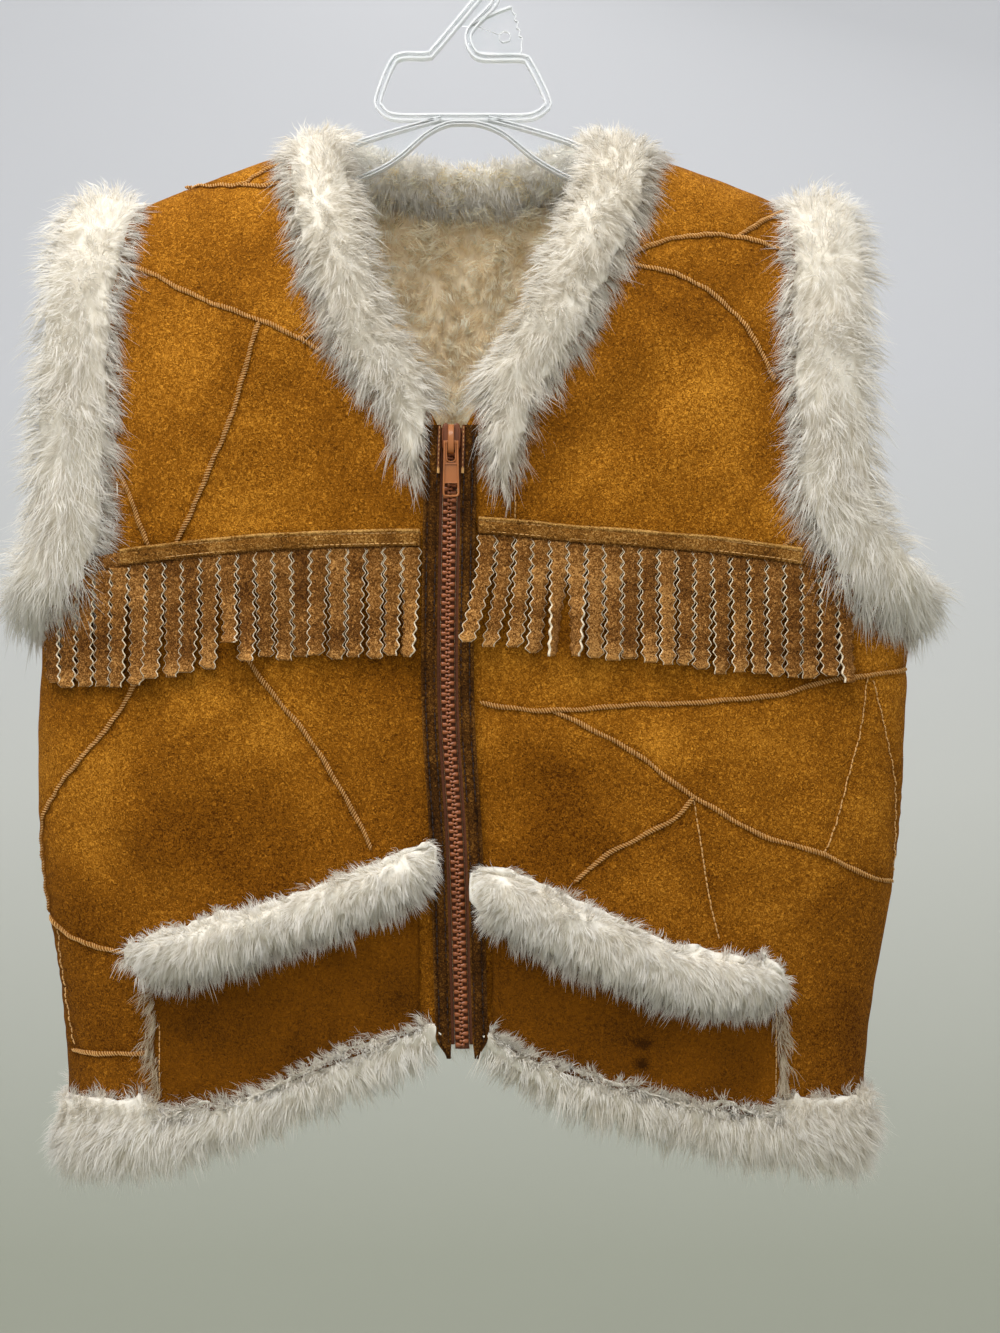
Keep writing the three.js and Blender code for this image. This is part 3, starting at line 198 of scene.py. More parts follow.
def depth(face, x, z):
    """How far the suede stands in front of or behind the hanger's plane."""
    below = np.clip((shoulder_line(x) - z) / SHOULDER_RUN, 0, 1)
    fall = (1 - (1 - below) ** SHOULDER_ROUND) ** (1 / SHOULDER_ROUND)
    left, right = body_side(LEFT, z), body_side(RIGHT, z)
    across = np.minimum(np.abs(x - (left + right) / 2) / ((right - left) / 2), 1)
    rounding = (1 - across**SIDE_ROUND) ** (1 / SIDE_ROUND)
    height = 0
    for fold_face, fold_x, fold_z, wide, tall, lean, fold_height in FOLDS:
        if fold_face == face:
            fold = hump(x - lean * (z - fold_z), fold_x, wide) * hump(z, fold_z, tall)
            height = height + fold_height * fold
    return (HALF_DEPTH + height) * fall * rounding


def unit(vectors):
    return vectors / np.maximum(np.linalg.norm(vectors, axis=-1, keepdims=True), 1e-9)


def direction(face, x, z):
    """The suede's own outward direction."""
    step = 0.4
    slope_x = (depth(face, x + step, z) - depth(face, x - step, z)) / (2 * step)
    slope_z = (depth(face, x, z + step) - depth(face, x, z - step)) / (2 * step)
    return unit(np.stack([-slope_x, np.full_like(slope_x, face), -slope_z], axis=-1))


def at_pixel(points):
    """Places (x, z) on the front that the photograph shows at these pixels."""
    points = np.array(points, float)
    y = np.full(len(points), -HALF_DEPTH)
    for _ in range(8):
        scale = PIXEL * (CAMERA_TO_FRONT + y + HALF_DEPTH) / CAMERA_TO_FRONT
        x = PHOTO_MIDDLE_X + (points[:, 0] - PHOTO_WIDE / 2) * scale
        z = PHOTO_MIDDLE_Z - (points[:, 1] - PHOTO_TALL / 2) * scale
        x = np.clip(x, body_side(LEFT, z) * INSIDE_SIDES, body_side(RIGHT, z) * INSIDE_SIDES)
        y = lerp(y, -depth(FRONT, x, z), 0.8)
    return np.stack([x, z], axis=-1)


def drawn(points, spacing):
    """A smooth curve through given points, resampled evenly."""
    points = np.array(points, float)
    ends = [2 * points[0] - points[1], *points, 2 * points[-1] - points[-2]]
    line = []
    for a, b, c, d in zip(ends, ends[1:], ends[2:], ends[3:]):
        t = np.linspace(0, 1, 16, endpoint=False)[:, None]
        line.append(
            0.5 * (2 * b + (c - a) * t + (2 * a - 5 * b + 4 * c - d) * t**2
                   + (3 * b - a - 3 * c + d) * t**3)
        )
    line = np.concatenate([*line, points[-1:]])
    run = np.concatenate([[0], np.cumsum(np.linalg.norm(np.diff(line, axis=0), axis=1))])
    steps = max(int(run[-1] / spacing), 2)
    at = np.linspace(0, run[-1], steps + 1)
    return np.stack([np.interp(at, run, line[:, k]) for k in range(points.shape[1])], axis=-1)


# Seams between the patches. The front's are pixels, the back's are millimetres.
FRONT_SEAM_PIXELS = [
    [(185, 188), (212, 185), (240, 184), (262, 173), (284, 163)],
    [(240, 184), (258, 186), (284, 182)],
    [(120, 262), (148, 272), (176, 287), (214, 303), (252, 318), (283, 330), (312, 345), (345, 368)],
    [(300, 336), (318, 331), (338, 328)],
    [(258, 321), (245, 370), (226, 430), (205, 480), (176, 545)],
    [(118, 470), (133, 505), (150, 550)],
    [(138, 680), (118, 714), (92, 745), (58, 788), (42, 822), (44, 868), (50, 912)],
    [(240, 650), (262, 680), (300, 727), (337, 782), (372, 850)],
    [(50, 916), (68, 934), (96, 946), (130, 955)],
    [(56, 924), (62, 975), (72, 1038), (76, 1048)],
    [(72, 1050), (108, 1053), (152, 1054)],
    [(615, 262), (650, 245), (690, 236), (730, 236), (788, 252)],
    [(738, 236), (762, 222), (790, 210)],
    [(612, 262), (645, 266), (680, 276), (716, 296), (748, 330), (776, 382)],
    [(514, 470), (515, 498), (515, 524)],
    [(782, 548), (796, 538), (815, 530)],
    [(480, 702), (512, 708), (545, 711), (620, 706), (700, 702), (770, 696), (830, 681), (908, 669)],
    [(552, 711), (590, 728), (640, 757), (693, 796), (760, 834), (824, 855), (868, 876), (896, 882)],
    [(693, 797), (676, 818), (640, 837), (606, 855), (574, 884)],
    [(694, 800), (702, 850), (710, 900), (720, 942)],
    [(868, 678), (862, 725), (850, 770), (838, 815), (822, 856)],
    [(874, 680), (886, 730), (896, 790), (896, 872)],
    [(848, 618), (846, 650), (850, 674)],
]
FAINT_SEAMS = (9, 14, 19, 20, 21)    # flat rows of pale stitches, with no raised edge
BACK_SEAMS = [
    [(-148, -178), (-96, -186), (-40, -181), (18, -188), (74, -178), (146, -184)],
    [(-40, -181), (-58, -232), (-92, -284), (-150, -318)],
    [(18, -188), (46, -240), (54, -300), (44, -352)],
    [(-188, -398), (-130, -372), (-62, -364), (-6, -346), (44, -352), (112, -372), (192, -362)],
    [(-62, -364), (-84, -418), (-102, -470), (-96, -520)],
    [(112, -372), (92, -424), (58, -470), (40, -520)],
    [(-188, -482), (-150, -470), (-100, -470)],
    [(92, -424), (138, -452), (190, -462)],
]
FAINT_BACK_SEAMS = (6,)
SEAM_STEP = 1.2
SEAM_PHASE = 37                   # moves the puckers of one seam against those of the next
SEAM_BLOCK, SEAM_REACH = 40, 12
PUCKER_PITCH = 8.3
front_seams = [drawn(at_pixel(points), SEAM_STEP) for points in FRONT_SEAM_PIXELS]
back_seams = [drawn(points, SEAM_STEP) for points in BACK_SEAMS]

# Creases of the suede: face, both ends, half width and height in millimetres
CREASE_DEPTH = 1.5
CREASES = [
    (FRONT, (-130, -367), (-149, -399), 3.2, -0.9),
    (FRONT, (84, -205), (22, -268), 15, 1.6),
    (FRONT, (104, -216), (48, -276), 11, -1.2),
    (FRONT, (-34, -362), (-35, -374), 2.4, -0.7),
    (FRONT, (-46, -361), (-47, -371), 2.2, -0.6),
    (FRONT, (-60, -360), (-59, -373), 2.6, -0.7),
    (FRONT, (-76, -361), (-78, -376), 2.8, -0.6),
    (FRONT, (42, -357), (40, -369), 2.4, -0.7),
    (FRONT, (58, -359), (58, -371), 2.4, -0.7),
    (FRONT, (72, -360), (74, -373), 2.6, -0.7),
    (FRONT, (98, -362), (96, -376), 2.8, -0.8),
    (FRONT, (118, -364), (121, -377), 2.6, -0.7),
    (FRONT, (-158, -420), (-120, -455), 9, 1.2),
    (FRONT, (20, -430), (40, -402), 8, -1.0),
    (FRONT, (150, -400), (168, -452), 9, 1.1),
    (FRONT, (-132, -505), (-148, -528), 4, -0.8),
    (FRONT, (150, -505), (158, -535), 5, -0.9),
    (FRONT, (-60, -205), (-86, -262), 10, -1.0),
    (BACK, (-120, -205), (-66, -262), 12, -1.3),
    (BACK, (112, -204), (70, -270), 13, -1.2),
    (BACK, (-26, -300), (-18, -342), 9, 1.2),
    (BACK, (130, -392), (152, -448), 10, 1.3),
    (BACK, (-150, -408), (-128, -452), 9, 1.1),
    (BACK, (-20, -402), (8, -448), 11, -1.2),
    (BACK, (60, -496), (84, -520), 6, -0.9),
]


def ripple(u, v, size, seed):
    """Smooth noise between about -1 and 1, from waves in random directions."""
    draw = np.random.default_rng(seed)
    total = 0
    for _ in range(7):
        angle, phase = draw.uniform(0, 2 * math.pi, 2)
        pitch = size * draw.uniform(0.7, 1.6)
        along_wave = u * math.cos(angle) + v * math.sin(angle)
        total = total + np.sin(along_wave * 2 * math.pi / pitch + phase)
    return total / 3.2


def seam_effect(face, x, z):
    """Puckers and the low ground beside the raised seams."""
    seams = front_seams if face == FRONT else back_seams
    seam_points = np.concatenate(seams)
    marks = np.concatenate([
        np.arange(len(seam)) * SEAM_STEP + SEAM_PHASE * number for number, seam in enumerate(seams)
    ])
    shape = np.shape(x)
    flat = np.stack([np.ravel(x), np.ravel(z)], axis=-1)
    nearest = np.full(len(flat), 1e9)
    mark = np.zeros(len(flat))
    for start in range(0, len(seam_points), SEAM_BLOCK):
        block = seam_points[start:start + SEAM_BLOCK]
        low, high = block.min(0) - SEAM_REACH, block.max(0) + SEAM_REACH
        close = np.nonzero(((flat > low) & (flat < high)).all(axis=1))[0]
        if not len(close):
            continue
        gaps = np.linalg.norm(flat[close, None] - block[None], axis=-1)
        best = gaps.argmin(axis=1)
        gap = gaps[np.arange(len(close)), best]
        better = gap < nearest[close]
        nearest[close[better]] = gap[better]
        mark[close[better]] = marks[start + best[better]]
    sunk = -0.55 * hump(nearest, 0, 2.6)
    wave = np.sin(mark * 2 * math.pi / PUCKER_PITCH + np.sin(mark / 5.1))
    pucker = 0.32 * wave * hump(nearest, 0, 5.5)
    return (sunk + pucker).reshape(shape)


def relief(face, x, z):
    """The fine height of the suede over its plain surface."""
    height = 0.35 * ripple(x, z, 62, 11 + face) + 0.16 * ripple(x, z, 21, 23 + face)
    for crease_face, start, end, half_wide, rise in CREASES:
        if crease_face != face:
            continue
        start, end = np.array(start, float), np.array(end, float)
        run = end - start
        t = ((x - start[0]) * run[0] + (z - start[1]) * run[1]) / (run @ run)
        held = np.clip(t, 0, 1)
        away = np.hypot(x - start[0] - held * run[0], z - start[1] - held * run[1])
        fade = np.sin(np.clip(t, 0.02, 0.98) * math.pi) ** 0.5
        height = height + CREASE_DEPTH * rise * fade * hump(away, 0, half_wide)
    return height + seam_effect(face, x, z)


def on_cloth(face, x, z, out=0.0, finely=True):
    """Points on the suede, in millimetres, moved out along its own direction."""
    x, z = np.broadcast_arrays(np.asarray(x, float), np.asarray(z, float))
    raised = out + (relief(face, x, z) if finely else 0)
    base = np.stack([x, face * depth(face, x, z), z], axis=-1)
    return base + direction(face, x, z) * np.asarray(raised)[..., None]


# Meshes


def make_mesh(name, points, faces, materials, slots=None, shade=None, flat=False):
    """An object from points in millimetres and faces of any size, with a shade for each point."""
    mesh = bpy.data.meshes.new(name)
    points = np.asarray(points, np.float32) * MM
    if isinstance(faces, np.ndarray):
        size = faces.shape[1]
        mesh.vertices.add(len(points))
        mesh.vertices.foreach_set("co", points.ravel())
        mesh.loops.add(faces.size)
        mesh.loops.foreach_set("vertex_index", faces.astype(np.int32).ravel())
        mesh.polygons.add(len(faces))
        mesh.polygons.foreach_set("loop_start", np.arange(len(faces), dtype=np.int32) * size)
        mesh.update(calc_edges=True)
    else:
        mesh.from_pydata(points.tolist(), [], faces)
    for material in materials:
        mesh.materials.append(material)
    if slots is not None:
        mesh.polygons.foreach_set("material_index", np.asarray(slots, np.int32))
    if shade is not None:
        painted = mesh.attributes.new("shade", "FLOAT", "POINT")
        painted.data.foreach_set("value", np.asarray(shade, np.float32))
    mesh.polygons.foreach_set("use_smooth", np.full(len(mesh.polygons), not flat))
    mesh.validate()
    mesh.update()
    thing = bpy.data.objects.new(name, mesh)
    bpy.context.scene.collection.objects.link(thing)
    return thing


def dress(thing, slot, *nodes):
    """The piece rides on the vest and stands for those nodes; slot is not used."""
    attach(thing, VEST)
    if nodes:
        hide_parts(*nodes)
    return thing


class Batch:
    """Many small closed forms that become one mesh."""

    def __init__(self):
        self.points, self.faces, self.slots, self.shades = [], [], [], []
        self.count = 0

    def add(self, points, faces, slots=0, shade=0.5):
        points = np.asarray(points, float).reshape(-1, 3)
        self.points.append(points)
        self.faces.extend([[i + self.count for i in face] for face in faces])
        self.slots.extend([slots] * len(faces) if np.isscalar(slots) else list(slots))
        self.shades.append(np.broadcast_to(shade, len(points)))
        self.count += len(points)

    def build(self, name, materials, flat=False):
        return make_mesh(
            name, np.concatenate(self.points), self.faces, materials, self.slots,
            np.concatenate(self.shades), flat,
        )


def grid_faces(rows, columns, start=0, turned=False):
    faces = []
    for row in range(rows - 1):
        for column in range(columns - 1):
            a = start + row * columns + column
            face = [a, a + columns, a + columns + 1, a + 1]
            faces.append(face[::-1] if turned else face)
    return faces


def shell(outer, inner):
    """Points and faces of a closed sheet between two equal grids of points."""
    rows, columns = outer.shape[:2]
    layer = rows * columns
    faces = grid_faces(rows, columns) + grid_faces(rows, columns, layer, True)
    for row in range(rows - 1):
        a, b = row * columns, (row + 1) * columns
        faces.append([a, a + layer, b + layer, b])
        a, b = a + columns - 1, b + columns - 1
        faces.append([a, b, b + layer, a + layer])
    for column in range(columns - 1):
        a = column
        faces.append([a, a + 1, a + 1 + layer, a + layer])
        a = (rows - 1) * columns + column
        faces.append([a, a + layer, a + layer + 1, a + 1])
    return np.concatenate([outer.reshape(-1, 3), inner.reshape(-1, 3)]), faces


def ring_faces(rows, count, closed=False):
    """Faces round a row of equal rings of points, each joined to the next."""
    faces = []
    for row in range(rows if closed else rows - 1):
        a, b = row * count, (row + 1) % rows * count
        for k in range(count):
            beside = (k + 1) % count
            faces.append([a + k, a + beside, b + beside, b + k])
    return faces


def end_faces(rows, count):
    """The faces that close the first and the last ring."""
    return [list(range(count)), [(rows - 1) * count + k for k in range(count)]]


def facing(thing):
    """Turns the faces of a closed mesh outwards."""
    work = bmesh.new()
    work.from_mesh(thing.data)
    bmesh.ops.recalc_face_normals(work, faces=work.faces)
    work.to_mesh(thing.data)
    work.free()
    return thing


def tubes(lines, ups, radius, sides=3, squash=1.0):
    """Open tubes along many equal lines: lines is (count, steps, 3), and so is ups."""
    lines, ups = np.asarray(lines, float), np.asarray(ups, float)
    count, steps = lines.shape[:2]
    forward = np.gradient(lines, axis=1)
    across = unit(np.cross(forward, ups))
    rise = unit(np.cross(across, forward))
    angles = np.arange(sides) * 2 * math.pi / sides + math.pi / 2
    radius = np.broadcast_to(radius, (count, steps))[:, :, None, None]
    ring = (
        across[:, :, None] * np.cos(angles)[None, None, :, None]
        + rise[:, :, None] * np.sin(angles)[None, None, :, None] * squash
    )
    points = (lines[:, :, None] + ring * radius).reshape(-1, 3)
    first = np.arange(count)[:, None, None] * steps * sides
    near = first + np.arange(steps - 1)[None, :, None] * sides
    far = near + sides
    side = np.arange(sides)[None, None, :]
    beside = (side + 1) % sides
    faces = np.stack([near + side, near + beside, far + beside, far + side], axis=-1)
    return points, faces.reshape(-1, 4)


# Materials


def linear(colour):
    """A colour read off the photograph, 0 to 255 for red, green and blue, as the shader takes it."""
    parts = [value / 255 for value in colour]
    parts = [part / 12.92 if part <= 0.04045 else ((part + 0.055) / 1.055) ** 2.4 for part in parts]
    return (*parts, 1.0)


class Shader:
    """A material of the standard surface, and short calls for the nodes that feed it."""

    def __init__(self, name, roughness=0.9, **values):
        self.material = bpy.data.materials.new(name)
        self.material.use_nodes = True
        self.nodes = self.material.node_tree.nodes
        self.links = self.material.node_tree.links
        self.surface = self.nodes["Principled BSDF"]
        self.surface.inputs["Roughness"].default_value = roughness
        for key, value in values.items():
            self.surface.inputs[key.replace("_", " ")].default_value = value
        self.place = self.nodes.new("ShaderNodeTexCoord").outputs["Object"]

    def noise(self, scale, detail=2.0, distortion=0.0, stretch=None, rough=0.5):
        node = self.nodes.new("ShaderNodeTexNoise")
        node.inputs["Scale"].default_value = scale
        node.inputs["Detail"].default_value = detail
        node.inputs["Distortion"].default_value = distortion
        node.inputs["Roughness"].default_value = rough
        place = self.place
        if stretch:
            mapping = self.nodes.new("ShaderNodeMapping")
            mapping.inputs["Scale"].default_value = stretch
            self.links.new(self.place, mapping.inputs["Vector"])
            place = mapping.outputs["Vector"]
        self.links.new(place, node.inputs["Vector"])
        return node.outputs["Fac"]

    def attribute(self, name):
        node = self.nodes.new("ShaderNodeAttribute")
        node.attribute_name = name
        return node.outputs["Fac"]

    def math(self, kind, a, b=0.0, clamp=False):
        node = self.nodes.new("ShaderNodeMath")
        node.operation = kind
        node.use_clamp = clamp
        for socket, value in zip(node.inputs, (a, b)):
            if isinstance(value, (int, float)):
                socket.default_value = value
            else:
                self.links.new(value, socket)
        return node.outputs[0]

    def around(self, value, amount):
        """A noise moved to lie around zero, and scaled."""
        return self.math("MULTIPLY", self.math("SUBTRACT", value, 0.5), amount)

    def ramp(self, value, *stops):
        node = self.nodes.new("ShaderNodeValToRGB")
        marks = node.color_ramp.elements
        while len(marks) < len(stops):
            marks.new(0.5)
        for mark, (place, colour) in zip(marks, stops):
            mark.position = place
            mark.color = colour
        self.links.new(value, node.inputs["Fac"])
        return node.outputs["Color"]

    def colour(self, value):
        self.links.new(value, self.surface.inputs["Base Color"])

    def bump(self, height, strength, distance):
        node = self.nodes.new("ShaderNodeBump")
        node.inputs["Strength"].default_value = strength
        node.inputs["Distance"].default_value = distance
        self.links.new(height, node.inputs["Height"])
        self.links.new(node.outputs["Normal"], self.surface.inputs["Normal"])


BLOTCH = 0.6                      # how strongly the stroked places differ
FIBRE = 0.4                       # how strongly single fibres show against the nap


def napped_suede(name, dark, middle, light, mottle, sheen):
    """Brushed suede: worm-like nap, soft blotches where it is stroked, and the shade painted on it."""
    dark, middle, light = linear(dark), linear(middle), linear(light)
    shader = Shader(name, 0.95, Sheen_Weight=sheen, Sheen_Roughness=0.5, Specular_IOR_Level=0.08)
    shader.surface.inputs["Sheen Tint"].default_value = light
    worms = shader.noise(880, 2.0, 1.4, rough=0.5)
    fibres = shader.noise(2100, 2.0, 0.4, (1, 1, 0.5))
    blotches = shader.noise(26, 4.0, 0.6)
    nap = shader.math("ADD", shader.around(worms, mottle), shader.around(blotches, BLOTCH))
    total = shader.math("ADD", nap, shader.around(fibres, mottle * FIBRE))
    value = shader.math("ADD", total, shader.attribute("shade"), True)
    shader.colour(shader.ramp(value, (0.02, dark), (0.5, middle), (0.98, light)))
    shader.bump(shader.math("ADD", worms, shader.math("MULTIPLY", fibres, FIBRE)), 0.9, 0.0015)
    return shader.material


def cloth_white(name, dark, light, scale=420, strength=0.5):
    """The base of a pile, streaked like the hair that stands on it."""
    shader = Shader(name, 0.95, Sheen_Weight=0.2, Specular_IOR_Level=0.1)
    streaks = shader.noise(scale, 3.0, 0.8, (1, 1, 0.35))
    lumps = shader.math("MULTIPLY", shader.noise(60, 2.0), 0.5)
    value = shader.math("ADD", shader.math("MULTIPLY", streaks, 0.5), lumps)
    shader.colour(shader.ramp(value, (0.3, linear(dark)), (0.6, linear(light))))
    shader.bump(streaks, strength, 0.0012)
    return shader.material


def hair(name, root, middle, tip, translucent):
    """Hair whose shade goes from a darker root, painted shade deep in the pile, to a pale tip, lit partly
    from behind.
    """
    shader = Shader(name, 0.6, Specular_IOR_Level=0.25, Sheen_Weight=0.15)
    patches = shader.around(shader.noise(45, 2.0), 0.5)
    value = shader.math("ADD", shader.attribute("shade"), patches, True)
    tone = shader.ramp(value, (0.0, linear(root)), (0.45, linear(middle)), (0.95, linear(tip)))
    shader.colour(tone)
    glow = shader.nodes.new("ShaderNodeBsdfTranslucent")
    shader.links.new(tone, glow.inputs["Color"])
    blend = shader.nodes.new("ShaderNodeMixShader")
    blend.inputs["Fac"].default_value = translucent
    output = shader.nodes["Material Output"]
    shader.links.new(shader.surface.outputs[0], blend.inputs[1])
    shader.links.new(glow.outputs[0], blend.inputs[2])
    shader.links.new(blend.outputs[0], output.inputs["Surface"])
    return shader.material


def plain(name, colour, roughness, variation, scale, bump=0.0, **values):
    """A moulded or woven finish with a little unevenness."""
    shader = Shader(name, roughness, **values)
    uneven = shader.noise(scale, 3.0)
    colour = linear(colour)
    darker = tuple(channel * (1 - 2 * variation) for channel in colour[:3]) + (1.0,)
    shader.colour(shader.ramp(uneven, (0.3, darker), (0.7, colour)))
    if bump:
        shader.bump(shader.noise(scale * 12, 2.0), bump, 0.0003)
    return shader.material


SUEDE = napped_suede("suede_tan", (76, 38, 0), (145, 88, 14), (226, 154, 50), mottle=1.5, sheen=0.05)
POCKET_SUEDE = napped_suede(
    "suede_pocket", (56, 28, 0), (126, 74, 6), (188, 122, 34), mottle=0.9, sheen=0.03
)
FRINGE_SUEDE = napped_suede(
    "suede_fringe", (64, 34, 8), (126, 80, 32), (206, 150, 84), mottle=1.9, sheen=0.06
)
BINDING_SUEDE = napped_suede(
    "suede_binding", (70, 40, 8), (136, 88, 32), (214, 164, 92), mottle=1.7, sheen=0.06
)
TRIM_SUEDE = napped_suede("suede_trim", (30, 15, 3), (74, 43, 10), (142, 94, 36), mottle=1.6, sheen=0.04)
WELT_SUEDE = napped_suede("suede_welt", (96, 56, 16), (160, 104, 40), (214, 164, 92), mottle=0.7, sheen=0.06)
CUT_EDGE = plain("suede_cut_edge", (240, 222, 190), 0.9, variation=0.12, scale=900, bump=0.3)
THREAD = plain("thread_pale", (218, 166, 98), 0.7, variation=0.15, scale=300, bump=0.2)
DARK_THREAD = plain("thread_dark", (38, 18, 6), 0.7, variation=0.2, scale=300, bump=0.2)
TAPE = plain("zip_tape", (110, 60, 30), 0.85, variation=0.2, scale=700, bump=0.5)
CORD = plain("zip_cord", (132, 74, 34), 0.8, variation=0.2, scale=600, bump=0.4)
TEETH = plain("zip_teeth", (148, 80, 34), 0.4, variation=0.1, scale=200, Specular_IOR_Level=0.5)
PULL = plain(
    "zip_pull_finish", (166, 98, 44), 0.36, variation=0.1, scale=160, bump=0.15, Specular_IOR_Level=0.5
)
# A darker copy of the pull's plastic for the slider's body: painted shade, as the body lies in the shadow of
# the bridge and the pull
SLIDER_PAINTED_SHADE = plain(
    "zip_slider_painted_shade", (120, 64, 30), 0.42, variation=0.1, scale=160, bump=0.15, Specular_IOR_Level=0.4
)
# The fur's base is darker than the hair's tips: painted shade under the hair
FUR_BASE = cloth_white("fur_base", (206, 197, 178), (240, 234, 221))
FLEECE = cloth_white("fleece", (226, 202, 164), (252, 236, 206), scale=520, strength=0.7)
FUR_HAIR = hair("fur_hair", (204, 194, 174), (240, 234, 222), (255, 252, 246), translucent=0.45)
WISP_HAIR = hair("wisp_hair", (120, 96, 64), (182, 162, 130), (228, 216, 194), translucent=0.35)
FLEECE_HAIR = hair("fleece_hair", (246, 220, 176), (255, 240, 206), (255, 253, 238), translucent=0.46)


def clear_plastic(name, clear, bend):
    """Clear moulded plastic with soft flow marks."""
    shader = Shader(name, 0.12, Transmission_Weight=clear, IOR=bend, Specular_IOR_Level=0.7)
    marks = shader.noise(120, 2.0)
    shader.colour(shader.ramp(marks, (0.3, (0.95, 0.97, 0.97, 1)), (0.7, (1, 1, 1, 1))))
    shader.bump(marks, 0.08, 0.0005)
    return shader.material


RIM_PLASTIC = clear_plastic("clear_plastic_rims", 0.42, 1.3)
WEB_PLASTIC = clear_plastic("clear_plastic_webs", 0.97, 1.06)


# Fringe: both ends, and the lines of its top and its tips
FRINGE = {
    LEFT: {
        "from": -188,
        "to": -18.6,
        "tops": {"x": [-190, -160, -125, -72, -10], "z": [-321, -316, -311.5, -307.5, -306]},
        "tips": {"x": [-190, -150, -118, -84, -10], "z": [-367, -368, -361, -356, -354.5]},
    },
    RIGHT: {
        "from": 6.5,
        "to": 173,
        "tops": {"x": [0, 56, 103, 149, 178], "z": [-300, -305, -308.5, -314, -319]},
        "tips": {"x": [0, 40, 78, 131, 178], "z": [-347, -353.5, -356.5, -363, -365]},
    },
}
FRINGE_SHADOW = 0.24               # how much darker the suede behind it is painted: painted shadow of the fringe

# Soft light and dark places of the suede in the photograph, mostly painted light and shade and partly the
# suede's own tone: pixel, half width, half height, shade
FRONT_TONES = [
    ((210, 240), 60, 40, 0.03),
    ((170, 215), 30, 30, 0.10),
    ((180, 380), 50, 70, 0.08),
    ((310, 440), 70, 60, -0.08),
    ((240, 510), 60, 30, 0.06),
    ((700, 200), 60, 30, 0.06),
    ((640, 330), 30, 70, -0.12),
    ((700, 390), 60, 50, 0.16),
    ((590, 470), 40, 40, 0.10),
    ((560, 440), 25, 60, -0.10),
    ((210, 830), 90, 60, -0.19),
    ((100, 800), 40, 70, 0.06),
    ((230, 700), 80, 30, 0.07),
    ((390, 690), 30, 40, -0.10),
    ((400, 780), 30, 80, -0.14),
    ((560, 790), 60, 60, -0.21),
    ((660, 740), 90, 25, 0.14),
    ((760, 760), 70, 40, 0.10),
    ((860, 790), 30, 40, 0.12),
    ((800, 690), 60, 25, 0.02),
    ((520, 730), 30, 30, -0.05),
    ((760, 900), 60, 40, 0.02),
    ((640, 880), 40, 30, -0.06),
    ((60, 820), 20, 70, 0.0),
    ((90, 960), 30, 50, -0.10),
    ((110, 1040), 40, 40, -0.12),
    ((250, 1010), 90, 50, -0.10),
    ((400, 960), 60, 40, -0.06),
    ((620, 1010), 90, 60, -0.12),
    ((850, 1000), 30, 70, -0.10),
    ((830, 940), 40, 60, -0.04),
]


def spots(x, z, table):
    """Soft spots of shade, each at its pixel of the photograph."""
    total = 0
    for pixel, half_wide, half_tall, amount in table:
        spot_x, spot_z = at_pixel([pixel])[0]
        total = total + amount * hump(x, spot_x, half_wide * PIXEL) * hump(z, spot_z, half_tall * PIXEL)
    return total


def shade_of(face, x, z, seed):
    """The painted shade of the suede: patches, soft places that are mostly painted light and shade, painted
    shadow behind the fringe, painted shade towards the hem, and painted shade on the low ground by each
    seam.
    """
    shade = 0.5 + 0.05 * ripple(x, z, 110, seed) + 0.03 * ripple(x, z, 37, seed + 1)
    if face == FRONT:
        shade = shade + spots(x, z, FRONT_TONES)
        # Painted shadow of each fringe on the suede behind it
        for cut in FRINGE.values():
            top, tip = along(cut["tops"], "x", "z", x), along(cut["tips"], "x", "z", x)
            across = smooth(cut["from"] - 1, cut["from"] + 3, x) * smooth(cut["to"] + 1, cut["to"] - 3, x)
            upright = smooth(tip - 4, tip + 10, z) * smooth(top + 6, top, z)
            shade = shade - FRINGE_SHADOW * across * upright
    # Painted shade: darker towards the hem, where less light falls
    lower = smooth(-330, -560, z)
    shade = shade - 0.12 * lower
    # Painted shade on the low ground beside each seam, with painted light and shade along its puckers
    return shade + 0.16 * np.clip(seam_effect(face, x, z), -0.6, 0.4)


# Panels: suede outside and clipped pile inside, in one closed sheet
UPPER_ROWS = [0, 0.03, 0.09, 0.18, 0.3, 0.45, 0.61, 0.76, 0.87, 0.945, 1]
LOWER_ROWS = [0.11, 0.22, 0.33, 0.44, 0.55, 0.66, 0.77, 0.88, 1]
PILE_LUMP = 0.9
RIM_STEPS = 3                     # steps of the grid over which relief fades out at a panel's edge


def settle(edge, side, top, hem, fall):
    """Where an edge lies at each share of the way from the top line to the hem."""
    z = lerp(top(np.zeros_like(fall)), hem(np.zeros_like(fall)), fall)
    x = edge(side, z)
    for _ in range(14):
        z = lerp(top(x), hem(x), fall)
        x = lerp(x, edge(side, z), 0.7)
    return x


def row_falls(side, rows):
    x = float(body_side(side, UNDERARM))
    underarm = float((UNDERARM - shoulder_line(x)) / (front_hem(x) - shoulder_line(x)))
    knots = [share * underarm for share in UPPER_ROWS]
    knots += [lerp(underarm, 1, share) for share in LOWER_ROWS]
    at = np.linspace(0, len(knots) - 1, rows)
    return np.interp(at, np.arange(len(knots)), knots)


